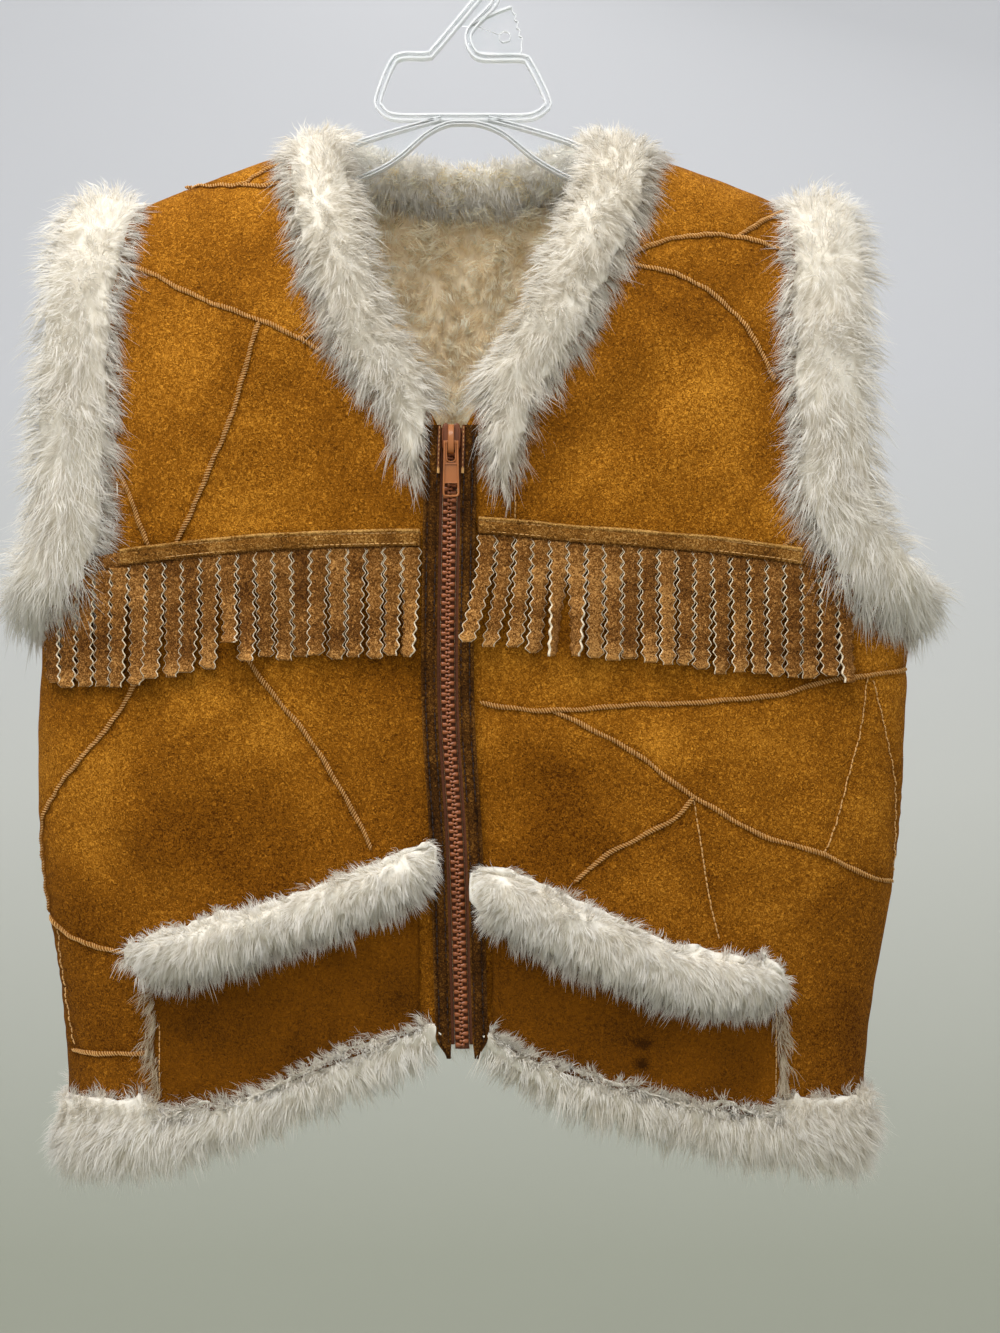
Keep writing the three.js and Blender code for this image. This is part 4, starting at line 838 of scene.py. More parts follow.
def panel_cells(face, side, rows, columns):
    """The panel's places x and z, row by row, and which of them lie on a seam."""
    if face == FRONT:
        falls = row_falls(side, rows)
        inner = settle(inner_edge, side, shoulder_line, front_hem, falls)
        outer = settle(outer_edge, side, shoulder_line, front_hem, falls)
        share = np.sin(np.linspace(0, 1, columns) * math.pi / 2)
        x = inner[:, None] + (outer - inner)[:, None] * share
        z = lerp(shoulder_line(x), front_hem(x), falls[:, None])
        at_side = np.zeros(x.shape, bool)
        at_side[:, -1] = z[:, -1] <= SIDE_SEAM_TOP
        on_top = np.zeros(x.shape, bool)
        on_top[0] = True
        side_x = body_side(side, z)
    else:
        falls = row_falls(LEFT, rows)
        left = settle(outer_edge, LEFT, back_top, back_hem, falls)
        right = settle(outer_edge, RIGHT, back_top, back_hem, falls)
        share = np.sin((np.linspace(0, 1, columns) - 0.5) * math.pi)
        x = ((left + right) / 2)[:, None] + ((right - left) / 2)[:, None] * share
        z = lerp(back_top(x), back_hem(x), falls[:, None])
        at_side = np.zeros(x.shape, bool)
        at_side[:, [0, -1]] = z[:, [0, -1]] <= SIDE_SEAM_TOP
        on_top = np.zeros(x.shape, bool)
        on_top[0] = np.abs(x[0]) >= NECK_HALF
        side_x = np.where(np.arange(columns) < columns / 2, body_side(LEFT, z), body_side(RIGHT, z))
    x = np.where(at_side, side_x, x)
    return x, z, at_side | on_top


def border(line, short):
    """Faces between a row of points and a second row that has half as many steps."""
    return [
        [line[2 * k], line[2 * k + 1], line[2 * k + 2], short[k + 1], short[k]]
        for k in range(len(short) - 1)
    ]


def panel(name, face, side, rows, columns, seed):
    """Suede on a fine grid, pile on every second point of it, and a rim between them."""
    x, z, on_seam = panel_cells(face, side, rows, columns)
    normal = direction(face, x, z)
    base = np.stack([x, face * depth(face, x, z), z], axis=-1)
    at_middle = on_seam | (np.abs(base[..., 1]) < SEAM_GAP / 2)
    base[..., 1] = np.where(at_middle, face * SEAM_GAP / 2, base[..., 1])
    normal[..., 1] = np.where(on_seam, 0, normal[..., 1])
    normal = unit(normal)
    row_in = np.minimum(np.arange(rows), np.arange(rows)[::-1])
    column_in = np.minimum(np.arange(columns), np.arange(columns)[::-1])
    inset = np.clip(np.minimum(row_in[:, None], column_in[None]) / RIM_STEPS, 0, 1)
    outer = base + normal * (relief(face, x, z) * inset)[..., None]
    few = slice(None, None, 2)
    lumps = PILE_LUMP * (ripple(x, z, 9, seed + 5) + ripple(x, z, 5, seed + 6)) * 0.6 * inset
    inner = (base - normal * (PILE_BASE + lumps)[..., None])[few, few]
    points = np.concatenate([outer.reshape(-1, 3), inner.reshape(-1, 3)])
    turned = face == BACK
    faces = grid_faces(rows, columns, 0, turned)
    slots = [0] * len(faces)
    start = rows * columns
    less_rows, less_columns = inner.shape[:2]
    faces += grid_faces(less_rows, less_columns, start, not turned)
    index = np.arange(start).reshape(rows, columns)
    less = start + np.arange(less_rows * less_columns).reshape(less_rows, less_columns)
    faces += border(index[0], less[0]) + border(index[-1], less[-1])
    faces += border(index[:, 0], less[:, 0]) + border(index[:, -1], less[:, -1])
    slots += [1] * (len(faces) - len(slots))
    shade = np.concatenate([shade_of(face, x, z, seed).ravel(), np.full(inner[..., 0].size, 0.5)])
    faces = [[int(i) for i in item] for item in faces]
    return facing(make_mesh(name, points, faces, [SUEDE, FLEECE], slots, shade))


front_left = panel("front_left_suede", FRONT, LEFT, 201, 91, 3)
front_right = panel("front_right_suede", FRONT, RIGHT, 201, 91, 4)
back = panel("back_suede", BACK, LEFT, 131, 121, 5)
dress(front_left, "suede", "front_left")
dress(front_right, "suede", "front_right")
dress(back, "suede", "back")


# Raised overlocked seams: a rope-like edge wrapped in pale thread, or a flat row of stitches
WELT_RADIUS = 0.9
STITCH_PITCH = 1.25
THREAD_RADIUS = 0.3
WELT_LIFT = 0.5
WELT_TAPER, WELT_END = 2.5, 0.35  # length over which a seam's edge grows from its thin end
WRAP_SLANT, WRAP_ANGLE = 0.62, 1.25    # how far a stitch runs along the edge, and round it each way
WRAP_OUT = 1.12


def frame_along(face, line, lift):
    """Points over the cloth along a line of places, with the cloth's direction there."""
    x, z = line[:, 0], line[:, 1]
    return on_cloth(face, x, z, lift), direction(face, x, z)


def overlock(welts, threads, face, line, seed):
    """A rope-like edge along a line, and thread wrapped round it."""
    draw = np.random.default_rng(seed)
    centre, up = frame_along(face, line, WELT_LIFT)
    run = np.arange(len(line)) * SEAM_STEP
    wobble = 0.25 * np.sin(run / 7.0 + draw.uniform(0, 6)) + 0.18 * np.sin(run / 2.9 + draw.uniform(0, 6))
    across = unit(np.cross(np.gradient(centre, axis=0), up))
    centre = centre + across * wobble[:, None]
    radius = WELT_RADIUS * (1 + 0.14 * np.sin(run / 3.7 + draw.uniform(0, 6)))
    radius = radius * np.clip(np.minimum(run, run[::-1]) / WELT_TAPER + WELT_END, WELT_END, 1)
    points, faces = tubes(centre[None], up[None], radius[None], 7)
    welts.add(points, faces.tolist(), 0, 0.42)
    total = run[-1]
    starts = np.arange(0.6, total - 0.6, STITCH_PITCH)
    starts = starts + draw.normal(0, 0.08, len(starts))
    bends = np.linspace(-1, 1, 4)
    at = np.clip(starts[:, None] + bends[None] * WRAP_SLANT, 0, total)
    angle = bends * WRAP_ANGLE

    def read(rows):
        return np.stack([np.interp(at, run, rows[:, k]) for k in range(3)], axis=-1)

    reach = np.interp(at, run, radius) * WRAP_OUT
    side_way, up_way = unit(read(across)), unit(read(up))
    radial = side_way * np.sin(angle)[None, :, None] + up_way * np.cos(angle)[None, :, None]
    arcs = read(centre) + radial * reach[..., None]
    points, faces = tubes(arcs, radial, THREAD_RADIUS, 3)
    threads.add(points, faces.tolist(), 0, 0.5)


def running_stitch(threads, face, line, spacing, length, radius, lift, pitch, seed=0, slot=0):
    """Short threads end to end along a line, each sinking into the cloth at its ends."""
    draw = np.random.default_rng(seed)
    run = np.arange(len(line)) * pitch
    starts = np.arange(spacing * 0.5, run[-1] - spacing * 0.5, spacing)
    starts = starts + draw.normal(0, 0.04 * spacing, len(starts))
    bends = np.array([-1.0, -0.5, 0.5, 1.0])
    at = starts[:, None] + bends[None] * length / 2
    x, z = np.interp(at, run, line[:, 0]), np.interp(at, run, line[:, 1])
    x = x + draw.normal(0, 0.08, (len(starts), 1))
    heights = lift + np.array([-0.45, 0.12, 0.12, -0.45]) * radius * 2
    arcs = on_cloth(face, x, z, heights[None])
    points, faces = tubes(arcs, direction(face, x, z), radius, 4)
    threads.add(points, faces.tolist(), slot, 0.5)


def sew(name, face, seams, faint):
    """All seams of one face: the faint ones as flat stitches, the others raised."""
    welts, threads = Batch(), Batch()
    for number, line in enumerate(seams):
        if number in faint:
            running_stitch(threads, face, line, 2.6, 2.0, 0.36, 0.25, SEAM_STEP, number)
        else:
            overlock(welts, threads, face, line, 100 + number)
    edge = facing(welts.build(f"seam_edges_{name}", [WELT_SUEDE]))
    thread = threads.build(f"seam_threads_{name}", [THREAD])
    dress(edge, "suede")
    dress(thread, "fringe_suede")


sew("front", FRONT, front_seams, FAINT_SEAMS)
sew("back", BACK, back_seams, FAINT_BACK_SEAMS)


# Strips that lie on the suede


def strip(face, x, z, low, high, round_share=0.3, finely=True):
    """A closed sheet over a grid of places, its upper side falling away towards its long edges."""
    columns = x.shape[1]
    across = np.abs(np.linspace(-1, 1, columns))
    fall = np.clip((across - (1 - round_share)) / round_share, 0, 1) ** 2
    top = high - (high - low) * 0.55 * fall
    outer = on_cloth(face, x, z, np.broadcast_to(top, x.shape), finely)
    inner = on_cloth(face, x, z, low, finely)
    return shell(outer, inner)


def beside_zip(side, inner, outer, top, bottom, rows, columns):
    z = np.linspace(top, bottom, rows)[:, None] + np.zeros(columns)
    x = zip_x(z) + side * np.linspace(inner, outer, columns)[None]
    return x, z


PLACKET_INNER, PLACKET_OUTER = 4.6, 11.6
PLACKET_END = -531.0
CHAIN_HALF = 2.9
CHAIN_TOP = -264.4
CHAIN_END = PLACKET_END + 5
TAPE_HALF = 10.5
TAPE_LOW, TAPE_HIGH = 0.6, 1.3
PLACKET_LOW, PLACKET_HIGH = 1.6, 3.0
OUTER_ROW, INNER_ROW = 0.45, -0.62    # rows of stitches, from -1 at the zip to 1 at the outer edge


def zip_strips(side):
    """Tape and placket of one side of the zip, with the placket's two rows of stitches."""
    name = SIDES[side]
    x, z = beside_zip(side, CHAIN_HALF + SEAM_GAP, TAPE_HALF, ZIP_TOP - 2, PLACKET_END + 6, 120, 5)
    points, faces = strip(FRONT, x, z, TAPE_LOW, TAPE_HIGH, finely=False)
    even = np.full(len(points), 0.5)
    tape = facing(make_mesh(f"zip_tape_{name}_weave", points, faces, [TAPE], None, even))
    dress(tape, "zip_tape", f"zip_tape_{name}")
    x, z = beside_zip(side, PLACKET_INNER, PLACKET_OUTER, ZIP_TOP - 1, PLACKET_END, 240, 13)
    closing = 0.72 * smooth(PLACKET_END + 11, PLACKET_END, z) ** 1.5
    x = lerp(x, zip_x(z) + side * (PLACKET_INNER + 0.8), closing)
    across = np.linspace(-1, 1, 13)
    run = z[:, :1]
    channel = -0.42 * hump(across, OUTER_ROW, 0.16) - 0.3 * hump(across, INNER_ROW, 0.14)
    pucker = 0.16 * np.sin(run * 2 * math.pi / 3.1 + np.sin(run / 9)) * hump(across, OUTER_ROW, 0.3)
    edge_fall = 0.75 * np.clip((np.abs(across) - 0.82) / 0.18, 0, 1) ** 2
    high = PLACKET_HIGH + channel + pucker - edge_fall + 0.22 * ripple(x * 0, z, 26, 31 + side)
    points, faces = shell(on_cloth(FRONT, x, z, high, False), on_cloth(FRONT, x, z, PLACKET_LOW, False))
    # Lighter towards the long edges, which are worn, and darker in the grooves of both rows of stitches:
    # painted shade
    edge_wear_and_groove_shade = 0.48 + 0.7 * np.clip(np.abs(across) - 0.7, 0, 1) + 0.12 * ripple(x, z, 17, 33 + side)
    edge_wear_and_groove_shade = edge_wear_and_groove_shade - 0.3 * hump(across, OUTER_ROW, 0.14) - 0.2 * hump(across, INNER_ROW, 0.14)
    shade = np.concatenate([np.broadcast_to(edge_wear_and_groove_shade, x.shape).ravel(), np.full(x.size, 0.4)])
    placket = facing(make_mesh(f"placket_{name}_suede", points, faces, [TRIM_SUEDE], None, shade))
    dress(placket, "trim_suede", f"placket_{name}")
    threads = Batch()
    for share in (OUTER_ROW, INNER_ROW):
        offset = lerp(PLACKET_INNER, PLACKET_OUTER, (share + 1) / 2)
        heights = np.arange(ZIP_TOP - 6, PLACKET_END + 3, -1.0)
        line = np.stack([zip_x(heights) + side * offset, heights], axis=-1)
        running_stitch(threads, FRONT, line, 3.1, 2.3, 0.24, PLACKET_HIGH - 0.3, 1.0, 40 + side)
    thread = threads.build(f"placket_{name}_stitches", [DARK_THREAD])
    dress(thread, "trim_suede")
    return tape, placket


zip_cloth = [zip_strips(LEFT), zip_strips(RIGHT)]


# Zip teeth: two interlocked rows, each tooth a moulded block with a bulbed head
TOOTH_PITCH = 3.34
TOOTH_OUTLINE = [
    (-2.9, -0.85), (-1.1, -0.85), (-0.45, -0.42), (0.05, -0.42), (0.35, -0.78), (0.85, -0.78),
    (1.15, -0.4), (1.15, 0.4), (0.85, 0.78), (0.35, 0.78), (0.05, 0.42), (-0.45, 0.42),
    (-1.1, 0.85), (-2.9, 0.85),
]
# Distance out of the suede, and how wide the tooth is there
TOOTH_LAYERS = [(0.2, 1.0), (2.5, 1.0), (2.95, 0.78)]


def zip_teeth():
    """Both rows of teeth, and the cords that they sit on."""
    outline = np.array(TOOTH_OUTLINE)
    count = len(outline)
    faces = end_faces(len(TOOTH_LAYERS), count) + ring_faces(len(TOOTH_LAYERS), count)
    batch = Batch()
    middle = outline.mean(0)
    for side in (LEFT, RIGHT):
        start = CHAIN_TOP if side == LEFT else CHAIN_TOP - TOOTH_PITCH / 2
        for z in np.arange(start, CHAIN_END, -TOOTH_PITCH):
            points = []
            for out, scale in TOOTH_LAYERS:
                shape = middle + (outline - middle) * scale
                place_z = z + shape[:, 1]
                x = zip_x(z) - side * shape[:, 0]
                points.append(on_cloth(FRONT, x, place_z, out, False))
            batch.add(np.concatenate(points), faces)
    heights = np.linspace(CHAIN_TOP + 1, CHAIN_END - 1, 160)[:, None] + np.zeros(3)
    x = zip_x(heights) + np.linspace(-CHAIN_HALF - 0.2, CHAIN_HALF + 0.2, 3)
    points, cord = strip(FRONT, x, heights, 0.1, 1.2, finely=False)
    batch.add(points, cord, 1)
    return facing(batch.build("zip_teeth_rows", [TEETH, TAPE]))


teeth = zip_teeth()
dress(teeth, "zip_plastic", "zip_chain")


WEB_SIDES = (3, 11)    # the sides of a rimmed bar's section that face across its web


def bar_along(batch, path, side_way, wide, deep, slot=0, closed=False, corner=0.2, middle=None):
    """A bar with chamfered edges along a path, or rims with a thin web where middle gives both widths."""
    path = np.asarray(path, float)
    if closed:
        forward = np.roll(path, -1, axis=0) - np.roll(path, 1, axis=0)
    else:
        forward = np.gradient(path, axis=0)
    deep_way = np.broadcast_to(unit(np.asarray(side_way, float)), path.shape)
    wide_way = unit(np.cross(forward, deep_way))
    w, d = wide / 2, deep / 2
    c = min(corner, w * 0.45, d * 0.45)
    if middle is None:
        section = [
            (-w, -d + c), (-w + c, -d), (w - c, -d), (w, -d + c),
            (w, d - c), (w - c, d), (-w + c, d), (-w, d - c),
        ]
    else:
        rim, web = middle
        section = [
            (-w, -d + c), (-w + c, -d), (-w + rim, -d), (-w + rim, -web / 2),
            (w - rim, -web / 2), (w - rim, -d), (w - c, -d), (w, -d + c),
            (w, d - c), (w - c, d), (w - rim, d), (w - rim, web / 2),
            (-w + rim, web / 2), (-w + rim, d), (-w + c, d), (-w, d - c),
        ]
    section = np.array(section)
    points = (
        path[:, None] + wide_way[:, None] * section[None, :, :1] + deep_way[:, None] * section[None, :, 1:]
    )
    steps, count = len(path), len(section)
    faces = ring_faces(steps, count, closed)
    if middle is None:
        slots = [slot] * len(faces)
    else:
        slots = [int(k % count in WEB_SIDES) for k in range(len(faces))]
    if not closed:
        faces += end_faces(steps, count)
        slots += [slot, slot]
    batch.add(points.reshape(-1, 3), faces, slots)


def softened(thing, width):
    """Rounds the edges of a moulded piece."""
    bevel = thing.modifiers.new("soft_edges", "BEVEL")
    bevel.width = width * MM
    bevel.segments = 2
    bevel.limit_method = "ANGLE"
    bevel.angle_limit = math.radians(40)
    return thing


PULL_AXIS_Z, PULL_AXIS_OUT = -261.1, 6.3
PULL_HALF, PULL_LONG, PULL_THICK = 3.7, 24.6, 2.0
PULL_TOP, PULL_TAPER = 0.8, 0.5
SLOT_HALF, SLOT_END = 1.75, -8.5
RIDGE, WINDOW_TOP = -9.4, -17.9
PULL_RIM, PULL_INSET, PULL_WEB = 0.84, 0.4, 0.8
# Plates across the tab: upper and lower edge from its axis, and thickness
PULL_PLATES = [
    (SLOT_END - 0.2, WINDOW_TOP, 0.7),
    (RIDGE + 0.25, RIDGE - 0.3, 1.6),
    (WINDOW_TOP + 0.5, WINDOW_TOP, 1.6),
]
ACROSS, OUTWARD = (1, 0, 0), (0, -1, 0)


def on_zip(x, z, out):
    """A point in front of the zip's middle, in millimetres."""
    return [float(zip_x(PULL_AXIS_Z)) + x, -HALF_DEPTH - out, z]


def rounded(corners, radius, closed=True, steps=5):
    """Corner points with each corner turned into a short curve."""
    corners = [np.array(corner, float) for corner in corners]
    count = len(corners)
    line = []
    for k, corner in enumerate(corners):
        if not closed and k in (0, count - 1):
            line.append(corner)
            continue
        before, after = corners[k - 1], corners[(k + 1) % count]
        start = corner + (before - corner) * min(radius / np.linalg.norm(before - corner), 0.5)
        stop = corner + (after - corner) * min(radius / np.linalg.norm(after - corner), 0.5)
        for t in np.linspace(0, 1, steps):
            line.append((1 - t) ** 2 * start + 2 * t * (1 - t) * corner + t * t * stop)
    return np.array(line)


def on_pull(x, z):
    """A point of the pull tab, from its axis."""
    return on_zip(x, PULL_AXIS_Z + z, PULL_AXIS_OUT)


def straight_bar(batch, start, end, wide, deep, corner=0.2):
    bar_along(batch, np.linspace(start, end, 4), OUTWARD, wide, deep, corner=corner)


def pull_tab():
    batch = Batch()
    half = PULL_HALF - PULL_RIM / 2
    head, foot = PULL_TOP - PULL_INSET, PULL_TOP - PULL_LONG + PULL_INSET
    neck = half - PULL_TAPER
    rim = [on_pull(-neck, head), on_pull(neck, head), on_pull(half, foot), on_pull(-half, foot)]
    bar_along(batch, rounded(rim, 1.3), OUTWARD, PULL_RIM, PULL_THICK, closed=True, corner=0.25)
    straight_bar(batch, on_pull(-half, 0), on_pull(half, 0), 1.5, 1.5, 0.5)
    wall = SLOT_HALF + 0.2
    slot = [on_pull(-wall, 0), on_pull(-wall, SLOT_END), on_pull(wall, SLOT_END), on_pull(wall, 0)]
    bar_along(batch, rounded(slot, 1.7, False), OUTWARD, 0.5, PULL_THICK - 0.1, corner=0.15)
    for side in (LEFT, RIGHT):
        middle = side * (SLOT_HALF + half) / 2
        web_top, web_end = on_pull(middle, head - PULL_INSET), on_pull(middle, RIDGE)
        straight_bar(batch, web_top, web_end, half - SLOT_HALF, PULL_WEB)
    for upper, lower, thick in PULL_PLATES:
        straight_bar(batch, on_pull(0, upper), on_pull(0, lower), 2 * half, thick, 0.12)
    thing = softened(facing(batch.build("pull_tab_moulded", [PULL], flat=True)), 0.12)
    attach(thing, "pull")
    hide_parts("zip_pull")


SLIDER_OUTLINE = [
    (-2.6, -252), (-0.9, -252.9), (0.9, -252.9), (2.6, -252), (3.6, -252.9), (4.2, -255.2), (4.2, -262.4),
    (3.3, -264), (-3.3, -264), (-4.2, -262.4), (-4.2, -255.2), (-3.6, -252.9),
]
SLIDER_LAYERS = [(1.6, 1.0), (2.7, 1.0), (3.2, 0.92), (3.4, 0.8)]
# The slider's bridge over the pull's bar: height and distance out of the suede
BRIDGE = [
    (-253.4, 3.7), (-255.0, 5.9), (-257.4, 7.8), (-260.8, 8.3), (-264.0, 8.0), (-265.3, 6.6), (-265.5, 3.6),
]
# The rib along its flank: distance from the zip's middle, height, and distance out of the suede
FLANK = [(3.5, -254.2, 3.3), (3.8, -258, 3.5), (3.2, -263.2, 3.3)]


def slider_body():
    batch = Batch()
    outline = np.array(SLIDER_OUTLINE)
    middle = outline.mean(0)
    layers, count = len(SLIDER_LAYERS), len(outline)
    points = []
    for out, scale in SLIDER_LAYERS:
        points += [on_zip(*(middle + (corner - middle) * scale), out) for corner in outline]
    # The body and its flanks take slot 1, the darker copy: painted shade
    batch.add(points, end_faces(layers, count) + ring_faces(layers, count), 1)
    for side in (LEFT, RIGHT):
        flank = [on_zip(side * x, z, out) for x, z, out in FLANK]
        bar_along(batch, rounded(flank, 2, False), OUTWARD, 0.8, 1.0, 1, corner=0.3)
    bridge = drawn([on_zip(0, z, out) for z, out in BRIDGE], 0.5)
    bar_along(batch, bridge, ACROSS, 1.2, 2.6, corner=0.4)
    thing = softened(facing(batch.build("slider_body_moulded", [PULL, SLIDER_PAINTED_SHADE], flat=True)), 0.15)
    dress(thing, "zip_plastic", "zip_slider")


pull_tab()
slider_body()


# Hanger: rimmed bars with a thin web between, as moulded
HOOK_INNER, HOOK_WIDE, HOOK_DEEP = 19.0, 6.0, 5.5
HOOK_FROM, HOOK_TO = 205, -52
STEM_END = (12.9, -41.5)
FRAME_WIDE, FRAME_DEEP = 3.4, 5.0
NECK_FRAME = [
    (10.4, -41), (8.4, -45.6), (5.5, -49.2), (-13.5, -72.1), (-17.6, -75.2), (-29, -75.5), (-34, -79.3),
    (-40.2, -95), (-39, -99.8), (-32.5, -103.8), (-10, -104), (10, -104), (29.6, -103.8), (37.2, -99.8),
    (38.2, -95.4), (30.4, -79.6), (26, -76.4), (7.6, -76), (2.6, -71.5), (1.5, -66.6), (3.4, -62.2),
    (12.6, -52.4), (15, -47.4), (15.4, -41),
]
STEM_WEB = [((10.4, -41), (15.4, -41)), ((5.5, -49.2), (14.4, -50.6)), ((-4.5, -61.2), (4, -61.6))]
# An arm's upper edge, from the middle out to the neck's edge
ARM_TOP = [(11, -104.6), (30, -109.8), (50, -116.2), (60, -122.5)]
ARM_END, ARM_LEVEL = 137, 56
ARM_UNDER_SEAM = WALL + 1.5
ARM_TALL = (12.5, 7.2)            # from its top rim to its low one, near the neck and at its end
ARCH_WIDE, ARCH_MIDDLE = 2.0, (0.55, 1.2)
WEB_HALF, SIZER_HALF = 0.4, 0.8   # half thicknesses
DEEP_WAY = (0, 1, 0)
ARCH = [
    (-48, -132), (-38, -127.5), (-29, -121.5), (-18, -112), (-9, -107.4), (-1, -106.6), (8, -107.4),
    (18.5, -112), (32, -122.9), (41, -128.5), (48.5, -132.3),
]
SIZER_OUTLINE = [
    (3, -60.5), (9, -57.6), (16, -54.6), (21.6, -52.6), (22.6, -55.6), (23.9, -56.2), (23.2, -58.8),
    (24.7, -59.6), (24.1, -62.4), (25.6, -63.2), (25.2, -66), (26.6, -66.8), (26.2, -70.4), (25.2, -74.2),
    (15, -74.4), (5, -73.6), (1.6, -69.4), (1.4, -65),
]
SIZER_HOLE = (18.5, -66.5, 2.6)


def arm_seat(x):
    return shoulder_line(x) - ARM_UNDER_SEAM - FRAME_WIDE / 2


def in_plane(places):
    """Places (x, z) as points in the hanger's own plane."""
    return np.stack([places[..., 0], 0 * places[..., 0], places[..., 1]], axis=-1)


def hanger_bar(batch, line, wide, deep=FRAME_DEEP, corner=0.2, middle=None):
    bar_along(batch, in_plane(line), DEEP_WAY, wide, deep, corner=corner, middle=middle)


def hanger_plate(batch, places, half_thick):
    points = in_plane(places)
    offset = half_thick * np.array(DEEP_WAY)
    batch.add(*shell(points - offset, points + offset), 1)


def hanger_arm(batch, side, arch):
    """One arm inside the vest: rims above and below, and a web between them."""
    x = side * np.linspace(ARM_LEVEL + 12, ARM_END, 24)
    start = [(side * reach, height) for reach, height in ARM_TOP]
    top = drawn([*start, *np.stack([x, arm_seat(x)], axis=-1)[::4], (x[-1], arm_seat(x[-1]))], 2.4)
    hanger_bar(batch, top, 2.2, middle=(0.6, 1.2))
    tall = lerp(*ARM_TALL, (np.abs(x) - ARM_LEVEL) / (ARM_END - ARM_LEVEL))
    low = np.stack([x, arm_seat(x) - tall], axis=-1)
    low = drawn([arch[0] if side == LEFT else arch[-1], *low[1::4], low[-1]], 2.4)
    hanger_bar(batch, low, ARCH_WIDE, middle=ARCH_MIDDLE)
    hanger_bar(batch, drawn([top[-1], low[-1]], 1.5), 1.7, corner=0.3)
    share, marks = np.linspace(0, 1, 40), np.linspace(0, 1, len(top))
    upper = np.stack([np.interp(share, marks, top[:, k]) for k in (0, 1)], axis=-1)
    both = np.concatenate([arch[arch[:, 0] * side > 8], low])
    order = np.argsort(both[:, 0])
    lower_z = np.interp(upper[:, 0], both[order, 0], both[order, 1])
    lower = np.stack([upper[:, 0], lower_z], axis=-1)
    web = np.stack([lerp(upper, lower, t) for t in np.linspace(0, 1, 4)], axis=1)
    hanger_plate(batch, web, WEB_HALF)


def size_marker(batch):
    """The toothed plate in the neck frame, with its round hole."""
    outline = np.array([*SIZER_OUTLINE, SIZER_OUTLINE[0]], float)
    hole_x, hole_z, hole_radius = SIZER_HOLE
    turn = np.arctan2(outline[:, 1] - hole_z, outline[:, 0] - hole_x)
    hole = np.stack([hole_x + hole_radius * np.cos(turn), hole_z + hole_radius * np.sin(turn)], axis=-1)
    hanger_plate(batch, np.stack([outline, hole], axis=1), SIZER_HALF)
    hanger_bar(batch, drawn(outline[:4], 1.5), 1.3, 3.4)
    hanger_bar(batch, drawn(outline[3:-3], 0.8), 0.6, 2.4, 0.15)
    hanger_bar(batch, drawn(hole, 0.8), 0.5, 2.4, 0.1)


def hanger():
    batch = Batch()
    radius = HOOK_INNER + HOOK_WIDE / 2
    angles = np.radians(np.linspace(HOOK_FROM, HOOK_TO, 40))
    hook = [(radius * math.cos(a), -HOOK_INNER + radius * math.sin(a)) for a in angles]
    hanger_bar(batch, drawn([*hook, STEM_END], 2.5), HOOK_WIDE, HOOK_DEEP, 0.5, (1.2, 1.8))
    hanger_bar(batch, drawn(NECK_FRAME, 1.6), FRAME_WIDE, FRAME_DEEP, 0.25, (0.85, 1.3))
    hanger_plate(batch, np.array(STEM_WEB, float), WEB_HALF)
    arch = drawn(ARCH, 1.8)
    hanger_bar(batch, arch, ARCH_WIDE, middle=ARCH_MIDDLE)
    for side in (LEFT, RIGHT):
        hanger_arm(batch, side, arch)
    size_marker(batch)
    thing = facing(batch.build("hanger_moulded", [RIM_PLASTIC, WEB_PLASTIC], flat=True))
    dress(thing, "clear_plastic", "hanger")


hanger()


# Corded edges of the tape each side of the slider, with pale flecks and a pale bead at the end
CORD_TOP, CORD_END, CORD_OFFSET = -253.5, -275.0, 5.3


def zip_top_cords():
    batch = Batch()
    for side in (LEFT, RIGHT):
        heights = np.arange(CORD_TOP, CORD_END, -0.8)
        line = np.stack([zip_x(heights) + side * CORD_OFFSET, heights], axis=-1)
        centre = on_cloth(FRONT, line[:, 0], line[:, 1], PLACKET_HIGH + 0.5, False)
        up = direction(FRONT, line[:, 0], line[:, 1])
        points, faces = tubes(centre[None], up[None], 0.62, 6)
        batch.add(points, faces.tolist(), 0)
        points, faces = tubes(centre[None, -4:], up[None, -4:], 0.72, 6)
        batch.add(points, faces.tolist(), 1)
        running_stitch(batch, FRONT, line, 1.9, 0.8, 0.18, PLACKET_HIGH + 1.08, 0.8, 60 + side, 1)
    return batch.build("zip_top_cords", [CORD, THREAD])


dress(zip_top_cords(), "zip_tape")


# Fringe: strands cut with pinking shears, their pale flesh showing along each cut
STRANDS = 21
FRINGE_BACKING = 6.5
FRINGE_THICK = 1.3
FRINGE_LOW = 1.5
PINK_PITCH = 4.8
PINK_DEEP = 0.95
CUT_IN = 0.12                     # half of the narrowest gap between two strands
CUT_BEVEL = 0.34
TIP_TAPER = 1.1
STRAND_STEPS = 49
CUT_COLUMNS = {0, 3, 4, 6}        # the sides of a strand's section where the shears cut
